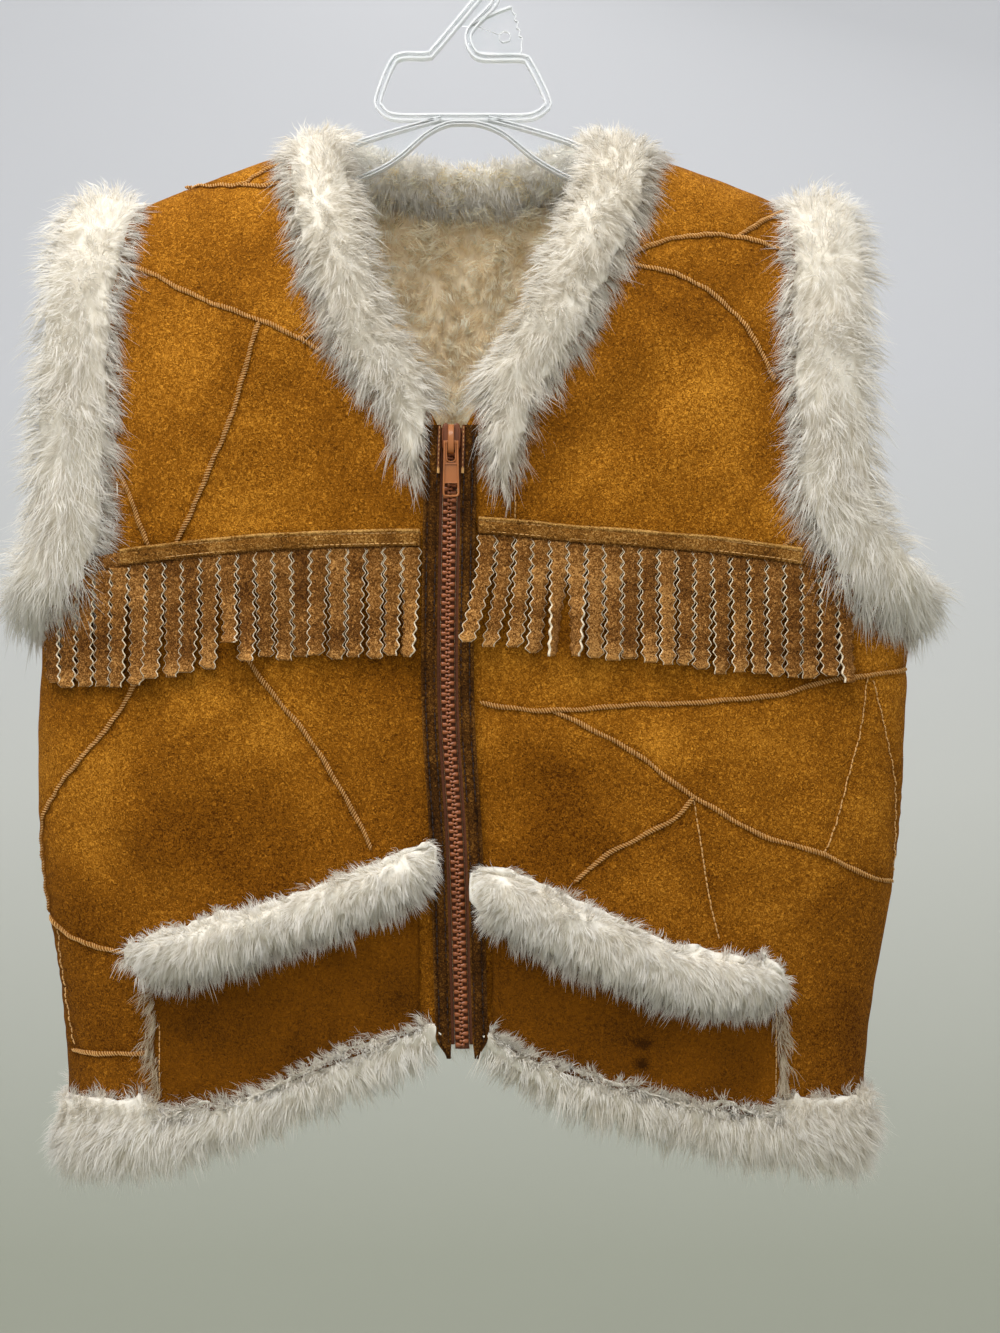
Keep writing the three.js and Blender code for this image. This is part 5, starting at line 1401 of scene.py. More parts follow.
# Strands that hang otherwise: side, strand, sideways swing, lift, twist in degrees and curl in degrees
STRAY_STRANDS = {
    (LEFT, 0): (1.5, 1.5, 0, 0),
    (LEFT, 6): (-1.2, 1.2, -8, 10),
    (LEFT, 10): (2.5, 3.5, 25, 95),
    (LEFT, 11): (0.8, 2.0, 12, 30),
    (LEFT, 15): (-1.4, 1.5, -10, 8),
    (LEFT, 19): (-0.8, 1.4, 20, 12),
    (LEFT, 20): (-1.6, 2.0, 35, 10),
    (RIGHT, 0): (-9, 6.0, 4, 6),
    (RIGHT, 1): (-7, 3.2, 8, 8),
    (RIGHT, 2): (-4.2, 1.6, 0, 4),
    (RIGHT, 3): (-3.2, 1.0, -14, 0),
    (RIGHT, 4): (-3.6, 3.5, -58, 6),
    (RIGHT, 5): (-1.0, 2.5, 52, 4),
    (RIGHT, 12): (-1.0, 1.4, 10, 8),
    (RIGHT, 19): (-0.4, 1.0, 14, 6),
    (RIGHT, 20): (0.5, 1.6, -22, 10),
}


def zigzag(run, phase):
    place = (run / PINK_PITCH + phase) % 1
    return PINK_DEEP * (4 * np.abs(place - 0.5) - 1)


def strand_section(left_edge, right_edge):
    """The section of a strand at each step: place across, and thickness."""
    half, middle = FRINGE_THICK / 2, lerp(left_edge, right_edge, 0.5)
    left_in, right_in = left_edge + CUT_BEVEL, right_edge - CUT_BEVEL
    return [
        (left_edge, half * 0.4), (left_in, half), (middle, half * 1.25), (right_in, half),
        (right_edge, half * 0.4), (right_in, -half), (left_in, -half),
    ]


def fringe(side):
    cut = FRINGE[side]
    pitch = (cut["to"] - cut["from"]) / STRANDS
    draw = np.random.default_rng(70 + side)
    phases = draw.uniform(0, 1, STRANDS + 1)
    open_cuts = np.clip(draw.normal(0.75, 0.45, STRANDS + 1), 0.2, 1.6)
    share = np.linspace(0, 1, STRAND_STEPS)
    opening = smooth(0.02, 0.6, share) / 2
    taper = TIP_TAPER * np.clip((share - 0.955) / 0.045, 0, 1)
    half = FRINGE_THICK / 2
    batch = Batch()
    for strand in range(STRANDS):
        left, right = cut["from"] + strand * pitch, cut["from"] + (strand + 1) * pitch
        middle = (left + right) / 2
        top = float(along(cut["tops"], "x", "z", middle)) - 0.4
        tip = float(along(cut["tips"], "x", "z", middle)) + draw.normal(0, 0.7)
        length = top - tip
        usual = (draw.normal(0, 0.35), abs(draw.normal(0.5, 0.4)), draw.normal(0, 5), draw.normal(4, 7))
        swing, lift, twist, curl = STRAY_STRANDS.get((side, strand), usual)
        run = share * length
        tilt = np.radians(curl) * smooth(0.55, 1.0, share) + np.radians(draw.normal(0, 2))
        step = length / (STRAND_STEPS - 1)
        z = top - np.concatenate([[0], np.cumsum(np.cos(tilt[1:]) * step)])
        out = np.concatenate([[0], np.cumsum(np.sin(tilt[1:]) * step)])
        waves = 0.35 * np.abs(ripple(run, run * 0, 19, 80 + strand))
        out = np.maximum(out, -0.2) + lift * share**1.6 + waves
        turn = np.radians(twist) * smooth(0.15, 0.9, share)
        left_cut, right_cut = zigzag(run, phases[strand]), zigzag(run, phases[strand + 1])
        left_edge = left - middle + CUT_IN + open_cuts[strand] * opening + left_cut + taper
        right_edge = right - middle - CUT_IN - open_cuts[strand + 1] * opening + right_cut - taper
        drift = swing * share**2 + 0.25 * ripple(run, run * 0, 31, 120 + strand)
        section = strand_section(left_edge, right_edge)
        ring = []
        for across, thick in section:
            x = middle + drift + across * np.cos(turn) - thick * np.sin(turn)
            raised = FRINGE_LOW + half + out + across * np.sin(turn) + thick * np.cos(turn)
            ring.append(on_cloth(FRONT, x, z, np.maximum(raised, 0.25), False))
        points, count = np.stack(ring, axis=1), len(section)
        faces = ring_faces(STRAND_STEPS, count)
        slots = [int(k % count in CUT_COLUMNS) for k in range(len(faces))]
        shade = 0.5 + draw.normal(0, 0.07) + 0.1 * ripple(run, run * 0, 13, 160 + strand)
        shade = np.repeat(shade - 0.06 + 0.26 * smooth(0.78, 1.0, share), count)
        batch.add(points, faces + end_faces(STRAND_STEPS, count), slots + [0, 1], shade)
    x = np.linspace(cut["from"], cut["to"], 120)[None] + np.zeros((3, 1))
    top = along(cut["tops"], "x", "z", x[0])
    z = np.stack([top + FRINGE_BACKING, top + FRINGE_BACKING / 2, top - 1.2])
    points, faces = strip(FRONT, x, z, FRINGE_LOW, FRINGE_LOW + FRINGE_THICK, finely=False)
    batch.add(points, faces, 0, 0.45)
    name = SIDES[side]
    thing = facing(batch.build(f"fringe_{name}_strands", [FRINGE_SUEDE, CUT_EDGE]))
    return dress(thing, "fringe_suede", f"fringe_{name}")


fringes = [fringe(LEFT), fringe(RIGHT)]


# Binding over the top of each fringe
BINDING = {LEFT: (-151, -18.8), RIGHT: (7, 149)}
BINDING_LOW = 3.1
BINDING_UP, BINDING_DOWN = 7.6, 0.2    # its edges over the top of the fringe
UPPER_STITCHES, LOWER_STITCHES = 0.24, 0.86


def binding(side):
    start, end = BINDING[side]
    columns, rows = 150, 13
    x = np.linspace(start, end, columns)[None] + np.zeros((rows, 1))
    top = along(FRINGE[side]["tops"], "x", "z", x[0])
    down = np.linspace(0, 1, rows)[:, None]
    z = lerp(top + BINDING_UP, top + BINDING_DOWN, down)
    z = z + 0.25 * ripple(x, z * 0, 34, 200 + side)
    roll = 0.75 * hump(down, 0.1, 0.09) + 0.2 * np.sin(down * math.pi)
    groove = -0.35 * hump(down, UPPER_STITCHES, 0.06) - 0.25 * hump(down, LOWER_STITCHES, 0.07)
    end_fall = 0.6 * np.clip((np.abs(2 * down - 1) - 0.85) / 0.15, 0, 1) ** 2
    high = BINDING_LOW + 1.3 + roll + groove - end_fall + 0.12 * ripple(x, z, 7, 210 + side)
    points, faces = shell(on_cloth(FRONT, x, z, high, False), on_cloth(FRONT, x, z, BINDING_LOW, False))
    # The rolled bead along the top edge is painted lighter: a painted highlight
    tone_and_bead_highlight = 0.46 + 0.4 * hump(down, 0.1, 0.1) + 0.1 * ripple(x, z, 15, 220 + side)
    shade = np.concatenate([np.broadcast_to(tone_and_bead_highlight, x.shape).ravel(), np.full(x.size, 0.4)])
    name = SIDES[side]
    thing = facing(make_mesh(f"binding_{name}_strip", points, faces, [BINDING_SUEDE], None, shade))
    dress(thing, "fringe_suede", f"binding_{name}")
    threads = Batch()
    for share in (UPPER_STITCHES, LOWER_STITCHES):
        line_z = lerp(top + BINDING_UP, top + BINDING_DOWN, share)
        line = np.stack([x[0], line_z], axis=-1)
        pitch = (end - start) / (columns - 1)
        running_stitch(threads, FRONT, line, 2.5, 1.9, 0.2, BINDING_LOW + 1.05, pitch, 7)
    dress(threads.build(f"binding_{name}_stitches", [THREAD]), "fringe_suede")
    return thing


bindings = [binding(LEFT), binding(RIGHT)]


# Patch pockets
POCKET_LOW, POCKET_HIGH = 0.6, 3.4
POCKETS = {
    LEFT: {"outer": -137, "inner": -19, "top_outer": -487, "top_inner": -452},
    RIGHT: {"outer": 141, "inner": 13, "top_outer": -499, "top_inner": -462},
}
POCKET_TUCK = 4
POCKET_STITCHES = 3.4             # how far the row of stitches lies in from the pocket's edge
# Stains on the right pocket: pixel, half width and half height, shade
STAINS = [((642, 1042), 8, 5, -0.34), ((641, 1062), 6, 6, -0.5), ((628, 1036), 18, 9, -0.1)]
POCKET_CURVE_PIXELS = [(478, 950), (484, 985), (500, 1012), (527, 1035)]


def pocket(side):
    cut = POCKETS[side]
    columns, rows = 76, 52
    share = np.linspace(0, 1, columns)[None] + np.zeros((rows, 1))
    x = lerp(cut["outer"], cut["inner"], share)
    top = lerp(cut["top_outer"], cut["top_inner"], share)
    down = np.linspace(0, 1, rows)[:, None]
    z = lerp(top, front_hem(x) + POCKET_TUCK, down)
    near = np.minimum(share, 1 - share) * abs(cut["outer"] - cut["inner"])
    lay = np.clip(near / 3.0, 0, 1) ** 0.6
    welt = 0.5 * hump(near, 1.6, 1.1) - 0.35 * hump(near, POCKET_STITCHES, 0.9)
    belly = 0.9 * np.sin(share * math.pi) * np.sin(down * math.pi)
    high = POCKET_LOW + (POCKET_HIGH - POCKET_LOW) * (0.35 + 0.65 * lay) + welt + belly
    high = high + 0.35 * ripple(x, z, 33, 300 + side) + 0.14 * ripple(x, z, 12, 302 + side)
    if side == RIGHT:
        curve = drawn(at_pixel(POCKET_CURVE_PIXELS), 1.0)
        away = np.min(np.hypot(x[..., None] - curve[:, 0], z[..., None] - curve[:, 1]), axis=-1)
        high = high + 0.55 * hump(away, 0, 1.0) - 0.3 * hump(away, 2.4, 1.2)
    points, faces = shell(on_cloth(FRONT, x, z, high, False), on_cloth(FRONT, x, z, POCKET_LOW, False))
    # Lighter on the raised edge and darker in the stitch groove beside it: painted light and shade
    shade = shade_of(FRONT, x, z, 9) + 0.05 * welt
    if side == RIGHT:
        shade = shade + spots(x, z, STAINS)
    shade = np.concatenate([shade.ravel(), np.full(x.size, 0.45)])
    name = SIDES[side]
    thing = facing(make_mesh(f"pocket_{name}_patch", points, faces, [POCKET_SUEDE], None, shade))
    dress(thing, "suede", f"pocket_{name}")
    threads = Batch()
    heights = np.arange(cut["top_outer"] - 4, float(front_hem(cut["outer"])) + 12, -1.0)
    line = np.stack([np.full(len(heights), cut["outer"] - side * POCKET_STITCHES), heights], axis=-1)
    running_stitch(threads, FRONT, line, 2.6, 2.0, 0.28, POCKET_HIGH - 0.1, 1.0, 310 + side)
    dress(threads.build(f"pocket_{name}_stitches", [THREAD]), "suede")
    return thing


pockets = [pocket(LEFT), pocket(RIGHT)]


# Fur bands: an even base inside each solid, and hair in locks that reaches the solid's surface
FUR_DENSITY = 1.68     # strands for each square millimetre
HAIR_TONES = np.array([0.0, 0.5, 0.5, 1.0])        # root, both sides and tip of a blade; the darker root is painted shade deep in the pile
HAIR_WIDTHS = (0.24, 0.42)
HAIR_SAG = 0.3
LOCK_SHADES = (-0.24, 0.18)
PANELS = ("front_left", "front_right", "back")
LOCK_AREA = 7.0
LOCK_REACH = 7.0                  # how far from a lock's head its strands still gather
HAIR_OVER_SUEDE = 0.5
BASE_VOXEL = 4.0
SLIDER_ROOM, SLIDER_ROOM_END = 7.5, -310    # hair stays this far from the zip's middle, down to here
ENDS_ROOM, ENDS_FROM = 12.5, -480
CHAIN_ROOM, CHAIN_FROM = 5.0, -420
IN_FRONT = -30


def tree_of(nodes):
    """One search tree over several nodes of the frame."""
    points, faces = [], []
    for node in nodes:
        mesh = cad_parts[node].data
        start = len(points)
        points += [vertex.co.copy() for vertex in mesh.vertices]
        faces += [[start + i for i in polygon.vertices] for polygon in mesh.polygons]
    return BVHTree.FromPolygons(points, faces)


def even_mesh(node, voxel):
    """The node's solid with small even faces: points, outward directions and quads."""
    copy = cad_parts[node].copy()
    copy.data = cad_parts[node].data.copy()
    bpy.context.scene.collection.objects.link(copy)
    copy.modifiers.clear()
    remesh = copy.modifiers.new("even", "REMESH")
    remesh.mode = "VOXEL"
    remesh.voxel_size = voxel * MM
    ease = copy.modifiers.new("ease", "SMOOTH")
    ease.factor = 0.5
    ease.iterations = 4
    mesh = bpy.data.meshes.new_from_object(copy.evaluated_get(bpy.context.evaluated_depsgraph_get()))
    points = np.zeros(len(mesh.vertices) * 3, np.float32)
    normals = np.zeros(len(mesh.vertices) * 3, np.float32)
    mesh.vertices.foreach_get("co", points)
    mesh.vertex_normals.foreach_get("vector", normals)
    faces = [list(polygon.vertices) for polygon in mesh.polygons]
    bpy.data.objects.remove(copy)
    bpy.data.meshes.remove(mesh)
    return points.reshape(-1, 3) / MM, unit(normals.reshape(-1, 3)), faces


def distances(tree, points):
    return np.array([tree.find_nearest(Vector(point * MM))[3] / MM for point in points])


def pocket_rise(x, z):
    """How far a pocket stands over the suede."""
    rise = np.zeros_like(x)
    for cut in POCKETS.values():
        share = (x - cut["outer"]) / (cut["inner"] - cut["outer"])
        top = lerp(cut["top_outer"], cut["top_inner"], share)
        rise = np.where((share > -0.01) & (share < 1.01) & (z < top + 1), POCKET_HIGH + 0.8, rise)
    return rise


def off_cloth(points, clear):
    """Hair that would pass through a panel is laid on the panel's nearer side."""
    x, y, z = points[..., 0], points[..., 1], points[..., 2]
    moved = y.copy()
    for face in (FRONT, BACK):
        if face == FRONT:
            left = x < zip_x(z)
            inner = np.where(left, inner_edge(LEFT, z), inner_edge(RIGHT, z))
            beyond = np.where(left, inner - x, x - inner)
            top, bottom = shoulder_line(x), front_hem(x)
            rise = pocket_rise(x, z)
        else:
            beyond = np.ones_like(x)
            top, bottom = back_top(x), back_hem(x)
            rise = 0
        outer = np.where(x < 0, x - outer_edge(LEFT, z), outer_edge(RIGHT, z) - x)
        over = (beyond > 0) & (outer > 0) & (z < top) & (z > bottom) & (y * face > 0)
        surface = depth(face, x, z)
        out = y * face - surface
        outside = over & (out < clear + rise) & (out > -WALL / 2)
        inside = over & (out <= -WALL / 2) & (out > -WALL - clear)
        moved = np.where(outside, face * (surface + clear + rise), moved)
        moved = np.where(inside, face * np.maximum(surface - WALL - clear, 0.2), moved)
    return np.stack([x, moved, z], axis=-1)


def over_zip(points):
    """Whether hair would lie across the slider, the chain or the ends of the plackets."""
    x, y, z = np.abs(points[..., 0] - zip_x(points[..., 2])), points[..., 1], points[..., 2]
    low = (z > PLACKET_END) & (y < IN_FRONT)
    slider = (x < SLIDER_ROOM) & (z < ZIP_TOP + 1) & (z > SLIDER_ROOM_END)
    ends = (x < ENDS_ROOM) & (z < ENDS_FROM) & low
    chain = (x < CHAIN_ROOM) & (z < CHAIN_FROM) & low
    return slider | ends | chain


def sample(points, faces, weights, density, draw):
    """Random places on a mesh, more where the weight is larger: corners and their shares."""
    triangles = np.array([[f[0], f[k], f[k + 1]] for f in faces for k in range(1, len(f) - 1)])
    a, b, c = points[triangles[:, 0]], points[triangles[:, 1]], points[triangles[:, 2]]
    size = np.linalg.norm(np.cross(b - a, c - a), axis=1) / 2 * weights[triangles].mean(axis=1)
    count = int(size.sum() * density)
    chosen = draw.choice(len(triangles), count, p=size / size.sum())
    u, v = draw.uniform(0, 1, (2, count))
    over = u + v > 1
    u, v = np.where(over, 1 - u, u), np.where(over, 1 - v, v)
    return triangles[chosen], np.stack([1 - u - v, u, v], axis=-1)


def strands(roots, normals, lean, lengths, widths, shade, draw, locks, wild=0.4, clump=0.34, wave=0.14):
    """Bent blades of hair, thin at both ends: each lock's strands share its lean and gather at its tip."""
    count = len(roots)
    heads = draw.choice(count, locks, replace=False)
    tree = KDTree(locks)
    for k, head in enumerate(heads):
        tree.insert(Vector(roots[head]), k)
    tree.balance()
    lock = np.array([tree.find(Vector(root))[1] for root in roots])
    random_way = unit(draw.normal(0, 1, (locks, 3)))
    lock_way = unit(lean[heads] + random_way * wild)
    lock_long = 0.72 + 0.5 * draw.uniform(0, 1, locks) ** 2
    lock_shade = draw.uniform(*LOCK_SHADES, locks)
    own = unit(draw.normal(0, 1, (count, 3)))
    way = unit(lock_way[lock] + 0.3 * lean + own * 0.34)
    long = lengths * lock_long[lock] * draw.uniform(0.6, 1.15, count)
    to_head = roots[heads][lock] - roots
    reach = np.linalg.norm(to_head, axis=1)
    gather = clump * np.clip(1.4 - reach / LOCK_REACH, 0, 1)
    bend = unit(np.cross(way, random_way[lock] + 0.6 * own))
    path = [roots]
    for share, arch in ((0.5, 1.0), (1.0, 0.1)):
        point = roots + way * (long * share)[:, None]
        point = point + to_head * (gather * share**1.5)[:, None]
        point = point + np.array([0, 0, -HAIR_SAG]) * (long * share * share)[:, None]
        point = point + bend * (wave * long * arch)[:, None]
        path.append(off_cloth(point, HAIR_OVER_SUEDE + 0.9 * draw.uniform(0, 1)))
    path = np.stack(path, axis=1)
    shade = shade + lock_shade[lock]
    keep = ~over_zip(path[:, 1:]).any(axis=1)
    path, normals, own, widths, shade = path[keep], normals[keep], own[keep], widths[keep], shade[keep]
    count = len(path)
    forward = path[:, 2] - path[:, 0]
    across = unit(np.cross(forward, unit(normals + 0.5 * own)))
    half = (widths / 2)[:, None]
    facing_way = unit(normals + 0.42 * unit(np.cross(across, forward)) + 0.2 * own)
    side_way = across * half
    points = np.stack([path[:, 0], path[:, 1] - side_way, path[:, 1] + side_way, path[:, 2]], axis=1)
    corners = np.array([[0, 2, 1], [1, 2, 3]])
    faces = (np.arange(count)[:, None, None] * 4 + corners[None]).reshape(-1, 3)
    shades = shade[:, None] * 0.5 + HAIR_TONES[None] * 0.6
    return points.reshape(-1, 3), faces, shades.ravel(), np.repeat(facing_way, 4, axis=0)


def hair_mesh(name, blades, material, slot):
    """The mesh of many blades, shaded as softly as the base that they stand on."""
    points, faces, shades, normals = blades
    thing = make_mesh(name, points, faces, [material], None, shades)
    thing.data.normals_split_custom_set_from_vertices(normals)
    return dress(thing, slot)


def hair_lean(roots, normals, droop, lean_x=0.0, spread=0.8):
    """The way that hair grows: out of the base, away from the band's middle, and down."""
    flat = normals * np.array([1, 0, 1])
    swirl_x = 0.28 * ripple(roots[:, 0], roots[:, 2], 34, 71)
    swirl_z = 0.28 * ripple(roots[:, 0], roots[:, 2], 41, 72)
    swirl = np.stack([swirl_x, 0 * swirl_x, swirl_z], axis=-1)
    return unit(normals * 0.6 + flat * spread + np.array([lean_x, 0, -droop]) + swirl)


POCKET_PRESS = 0.17               # how far the lower side of a pocket's band is pressed up, by its height


def pressed(points, side):
    """The band's lower side moved up, as its pile is shorter there."""
    cut = POCKETS[side]
    slope = (cut["top_inner"] - cut["top_outer"]) / (cut["inner"] - cut["outer"])
    height = points[:, 2] - slope * points[:, 0]
    lift = POCKET_PRESS * (height.max() - height)
    return points + lift[:, None] * np.array([[0, 0, 1]])


def fur(node, name, against, pile, length, droop, seed, density=1.0, lean_x=0.0, spread=0.8, tone=0.0):
    """Base and hair of one band: pile is how far the base lies in from the solid's surface."""
    points, normals, faces = even_mesh(node, BASE_VOXEL)
    if name.startswith("pocket"):
        points = pressed(points, LEFT if name.endswith("left") else RIGHT)
    gap = distances(tree_of(against), points)
    free = smooth(2.0, 7.0, gap)
    draw = np.random.default_rng(seed)
    lumps = 0.7 * ripple(points[:, 0] + points[:, 1], points[:, 2], 19, seed)
    base_points = points - normals * (free * (pile + lumps))[:, None]
    base = make_mesh(f"{name}_base", base_points, faces, [FUR_BASE])
    dress(base, "fur", node)
    weights = smooth(0.25, 1.0, gap) * (1 + 1.6 * smooth(4.5, 1.5, gap))
    weights = weights * lerp(1, 0.42, smooth(-0.1, 0.6, normals[:, 1]))
    joined = (np.abs(normals[:, 1]) > 0.9) & (np.abs(points[:, 1]) < 1.2)
    weights = weights * np.where(joined, 0.0, 1.0)
    corners, mixed = sample(base_points, faces, weights, FUR_DENSITY * density, draw)
    roots = (base_points[corners] * mixed[..., None]).sum(axis=1)
    way = unit((normals[corners] * mixed[..., None]).sum(axis=1))
    count = len(roots)
    lengths = np.full(count, length) * lerp(0.7, 1.1, draw.uniform(0, 1, count) ** 0.7)
    widths = draw.uniform(*HAIR_WIDTHS, count)
    # tone is painted light and shade, for how the light falls on the band
    shade = 0.55 + tone + 0.35 * draw.uniform(-1, 1, count)
    lean = hair_lean(roots, way, droop, lean_x, spread)
    if name.startswith("collar"):
        to_zip = smooth(-212, -232, roots[:, 2]) * smooth(-258, -250, roots[:, 2])
        to_zip = to_zip * smooth(34, 10, np.abs(roots[:, 0]))
        lean = unit(lean + to_zip[:, None] * np.sign(-roots[:, :1]) * np.array([[0.9, 0, 0]]))
        at_tip = smooth(-236, -256, roots[:, 2])
        lean = unit(lean + at_tip[:, None] * np.array([[0, 0, -0.8]]))
        lengths = lengths * (1 + 0.3 * to_zip + 0.05 * at_tip)
    if name.startswith("pocket"):
        from_zip = roots[:, 0] - zip_x(roots[:, 2])
        near_zip = smooth(24, 12, np.abs(from_zip))
        lean = unit(lean - (near_zip * np.sign(from_zip))[:, None] * np.array([[1.0, 0, 0]]))
    if name.startswith("hem"):
        at_top = (smooth(-0.1, 0.5, way[:, 2]) * smooth(0.3, -0.2, way[:, 1]))[:, None]
        lean = unit(lean * (1 - 0.6 * at_top) + at_top * np.array([[0, -0.75, -0.05]]))
        lengths = lengths * (1 - 0.3 * at_top[:, 0])
    locks = int(count / FUR_DENSITY / density / LOCK_AREA)
    blades = strands(roots - way * 0.6, way, lean, lengths, widths, shade, draw, locks)
    return base, hair_mesh(f"{name}_hair", blades, FUR_HAIR, "fur")


def side_bands(side):
    """The four bands of one side of the vest."""
    word = SIDES[side]
    pocket_ground = (f"pocket_{word}", f"front_{word}")
    # Darker tones on the collars and the right hem are painted shade; lighter tones on the armholes and the
    # left hem are painted light
    return [
        dict(
            node=f"collar_fur_{word}", name=f"collar_{word}", against=PANELS, pile=4.2, length=13,
            droop=0.35, seed=400 + side, density=1.0, lean_x=-0.1 * side, tone=-0.36,
        ),
        dict(
            node=f"armhole_fur_{word}", name=f"armhole_{word}", against=PANELS, pile=4.8, length=15,
            droop=0.35, seed=410 + side, density=0.75, tone=0.06,
        ),
        dict(
            node=f"hem_fur_{word}", name=f"hem_{word}", against=PANELS, pile=5.0, length=11.5,
            droop=0.45, seed=420 + side, density=1.15, tone=-0.09 * side,
        ),
        dict(
            node=f"pocket_fur_{word}", name=f"pocket_top_{word}", against=pocket_ground, pile=6.6,
            length=9.0, droop=0.35, seed=430 + side, density=1.4,
        ),
    ]


# The back collar's tone is painted light on a band that lies in shade
BACK_BANDS = [
    dict(
        node="collar_fur_back", name="collar_back", against=PANELS, pile=4.2, length=9.5,
        droop=0.05, seed=440, density=1.1, spread=0.5, tone=0.25,
    ),
    dict(
        node="hem_fur_back", name="hem_back", against=PANELS, pile=4.8, length=12,
        droop=0.4, seed=441, density=0.6,
    ),
]
fur_pieces = {band["name"]: fur(**band) for band in side_bands(LEFT) + side_bands(RIGHT) + BACK_BANDS}


FLEECE_STRANDS = 26000
FLEECE_ACROSS, FLEECE_UP = (-78, 78), (-270, -122)


def neck_fleece():
    """Longer cream pile where the back's inside shows through the open neck."""
    draw = np.random.default_rng(500)
    count = FLEECE_STRANDS
    x = draw.uniform(*FLEECE_ACROSS, count)
    z = draw.uniform(*FLEECE_UP, count)
    way = -direction(BACK, x, z)
    roots = on_cloth(BACK, x, z, -PILE_BASE, False)
    swirl = np.stack([ripple(x, z, 26, 510), 0 * x, 0.7 * ripple(x, z, 22, 511)], axis=-1)
    rising = smooth(-190, -148, z)
    lean = way * 0.75 + swirl * 0.6 + draw.normal(0, 0.2, (count, 3))
    lean = lean + np.stack([0 * x, -0.3 * rising, 0.75 * rising - 0.25], axis=-1)
    lengths = draw.uniform(5.0, 9.0, count) * (1 + 0.9 * rising)
    widths = draw.uniform(0.3, 0.55, count)
    shade = 0.66 + 0.34 * draw.uniform(-1, 1, count) + 0.3 * ripple(x, z, 12, 512)
    blades = strands(roots, way, unit(lean), lengths, widths, shade, draw, 1500, 0.55, 0.5, 0.22)
    hair_mesh("neck_fleece_hair", blades, FLEECE_HAIR, "lining_pile")


neck_fleece()


# Loose pile along the outer sides of the pockets: pixels of the line, and the way that it hangs
POCKET_WISPS = {
    LEFT: ([(150, 985), (158, 1012), (152, 1040), (160, 1066), (162, 1088)], (-0.55, -0.8)),
    RIGHT: ([(778, 1004), (782, 1030), (780, 1056), (784, 1088)], (0.15, -1.0)),
}
WISP_STRANDS = 340


def wisps(side):
    """Thin loose pile along the outer side of a pocket."""
    pixels, hang = POCKET_WISPS[side]
    draw = np.random.default_rng(520 + side)
    line = drawn(at_pixel(pixels), 0.5)
    count = WISP_STRANDS
    place = line[draw.integers(0, len(line), count)] + draw.normal(0, (1.1, 1.6), (count, 2))
    x, z = place[:, 0], place[:, 1]
    roots = on_cloth(FRONT, x, z, 0.4 + draw.uniform(0, 2.2, count), False)
    way = direction(FRONT, x, z)
    lean = way * 0.3 + np.array([hang[0], 0, hang[1]]) + draw.normal(0, 0.35, (count, 3))
    lengths = draw.uniform(5, 12, count)
    widths = draw.uniform(0.18, 0.3, count)
    shade = draw.uniform(0.1, 1, count)
    blades = strands(roots, way, unit(lean), lengths, widths, shade, draw, 40, 0.5, 0.6, 0.16)
    hair_mesh(f"pocket_{SIDES[side]}_wisps", blades, WISP_HAIR, "fur")


wisps(LEFT)
wisps(RIGHT)


# Backdrop, light and camera


def stage_plane(name, points, material):
    thing = make_mesh(name, points, [[0, 1, 2, 3]], [material])


def backdrop_material():
    """Pale wall that darkens lower down, painted shade of the light from above, and turns a little green
    there.
    """
    shader = Shader("backdrop", 0.95, Specular_IOR_Level=0.1)
    split = shader.nodes.new("ShaderNodeSeparateXYZ")
    shader.links.new(shader.place, split.inputs[0])
    height = shader.math("ADD", shader.math("MULTIPLY", split.outputs["Z"], 0.55), 1.0)
    shader.colour(shader.ramp(
        height,
        (0.4, linear((186, 188, 174))), (0.72, linear((218, 218, 213))), (1.0, linear((222, 222, 226))),
    ))
    return shader.material


# The backdrop's sizes: wall behind the vest, floor under it, half width, nearest edge and ceiling
BEHIND, FLOOR, ASIDE, NEAR, CEILING = 1500, -1250, 4000, -4000, 2500
wall_far = backdrop_material()
stage_plane("backdrop_wall", [
    (-ASIDE, BEHIND, FLOOR), (ASIDE, BEHIND, FLOOR), (ASIDE, BEHIND, CEILING), (-ASIDE, BEHIND, CEILING),
], wall_far)
stage_plane("backdrop_floor", [
    (-ASIDE, NEAR, FLOOR), (ASIDE, NEAR, FLOOR), (ASIDE, BEHIND, FLOOR), (-ASIDE, BEHIND, FLOOR),
], wall_far)


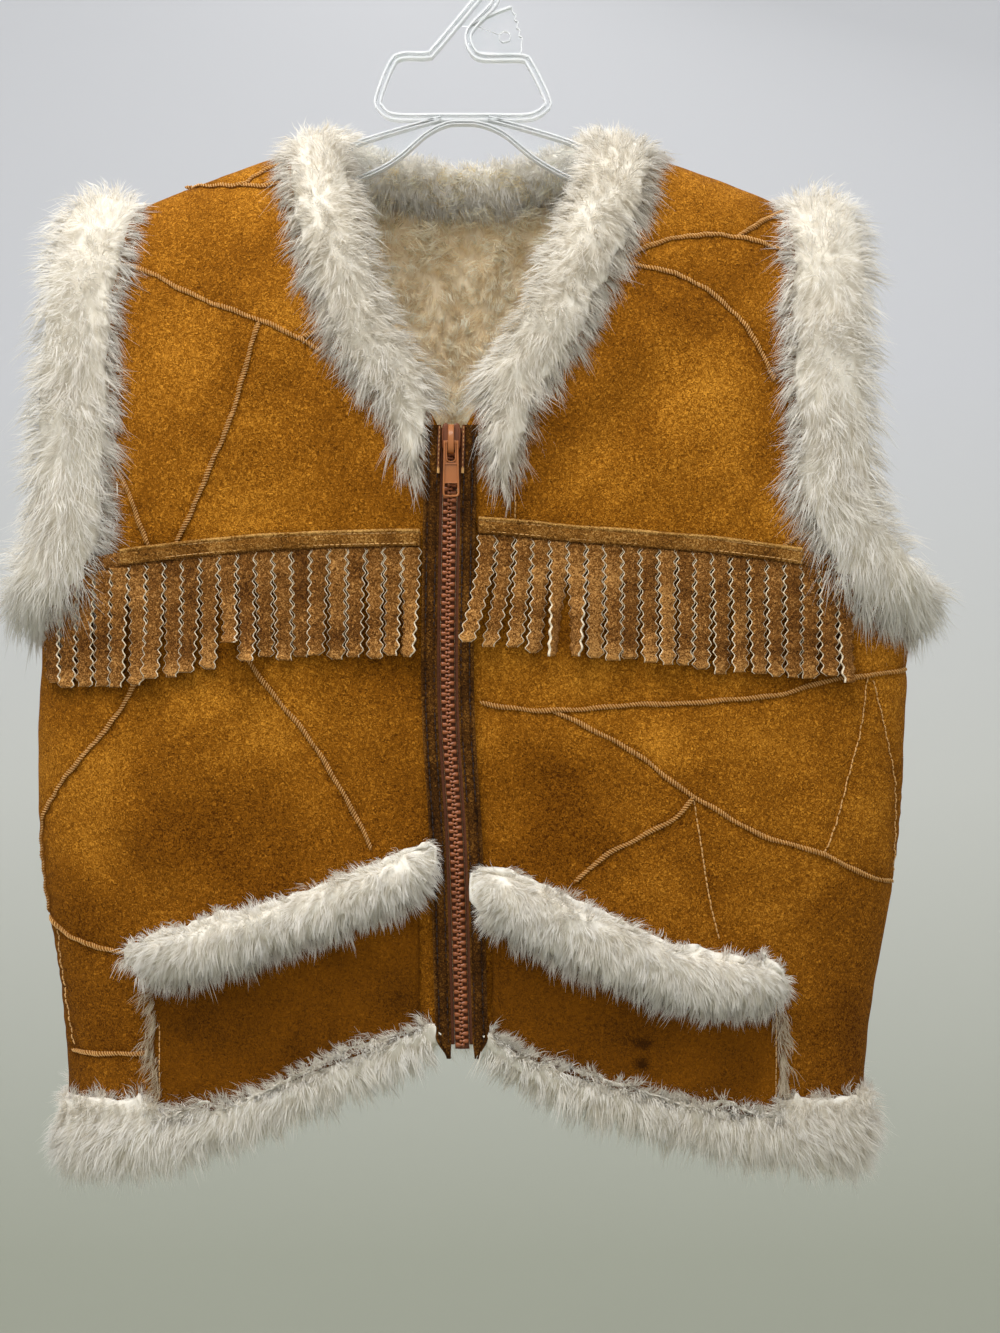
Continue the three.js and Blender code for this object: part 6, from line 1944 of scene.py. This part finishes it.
def area_light(name, place, target, size, power):
    light = bpy.data.lights.new(name, "AREA")
    light.shape = "RECTANGLE"
    light.size, light.size_y = size
    light.energy = power
    thing = bpy.data.objects.new(name, light)
    thing.location = Vector(place)
    thing.rotation_euler = (Vector(target) - Vector(place)).to_track_quat("-Z", "Y").to_euler()
    thing.visible_camera = False
    bpy.context.scene.collection.objects.link(thing)


area_light("key_above", (-0.32, -0.62, 0.62), (0.0, 0.0, -0.28), (0.9, 0.6), 13)
area_light("fill_front", (0.6, -1.8, -0.1), (0.0, 0.0, -0.35), (1.6, 1.6), 4)
area_light("back_glow", (0.3, 1.0, 0.9), (0.0, 0.0, -0.3), (1.4, 1.0), 5)

# Light of the room, strongest from above
world = bpy.data.worlds.new("room")
world.use_nodes = True
sky = world.node_tree.nodes
sky_links = world.node_tree.links
way_out = sky.new("ShaderNodeTexCoord")
upward = sky.new("ShaderNodeSeparateXYZ")
ceiling = sky.new("ShaderNodeMapRange")
ceiling.inputs["From Min"].default_value = -1
ceiling.inputs["From Max"].default_value = 1
ceiling.inputs["To Min"].default_value = 0.04
ceiling.inputs["To Max"].default_value = 1.05
sky_links.new(way_out.outputs["Generated"], upward.inputs[0])
sky_links.new(upward.outputs["Z"], ceiling.inputs["Value"])
sky_links.new(ceiling.outputs["Result"], sky["Background"].inputs["Strength"])
sky["Background"].inputs["Color"].default_value = (0.95, 0.97, 1.0, 1)
bpy.context.scene.world = world

half_tall = PHOTO_TALL / 2 * PIXEL
camera_data = bpy.data.cameras.new("photo_camera")
camera_data.sensor_width = SENSOR
camera_data.lens = SENSOR / 2 / (half_tall / CAMERA_TO_FRONT)
camera = bpy.data.objects.new("photo_camera", camera_data)
camera.location = (PHOTO_MIDDLE_X * MM, -(HALF_DEPTH + CAMERA_TO_FRONT) * MM, PHOTO_MIDDLE_Z * MM)
camera.rotation_euler = (math.pi / 2, 0, 0)
bpy.context.scene.collection.objects.link(camera)
bpy.context.scene.camera = camera
bpy.context.scene.view_settings.view_transform = "Standard"
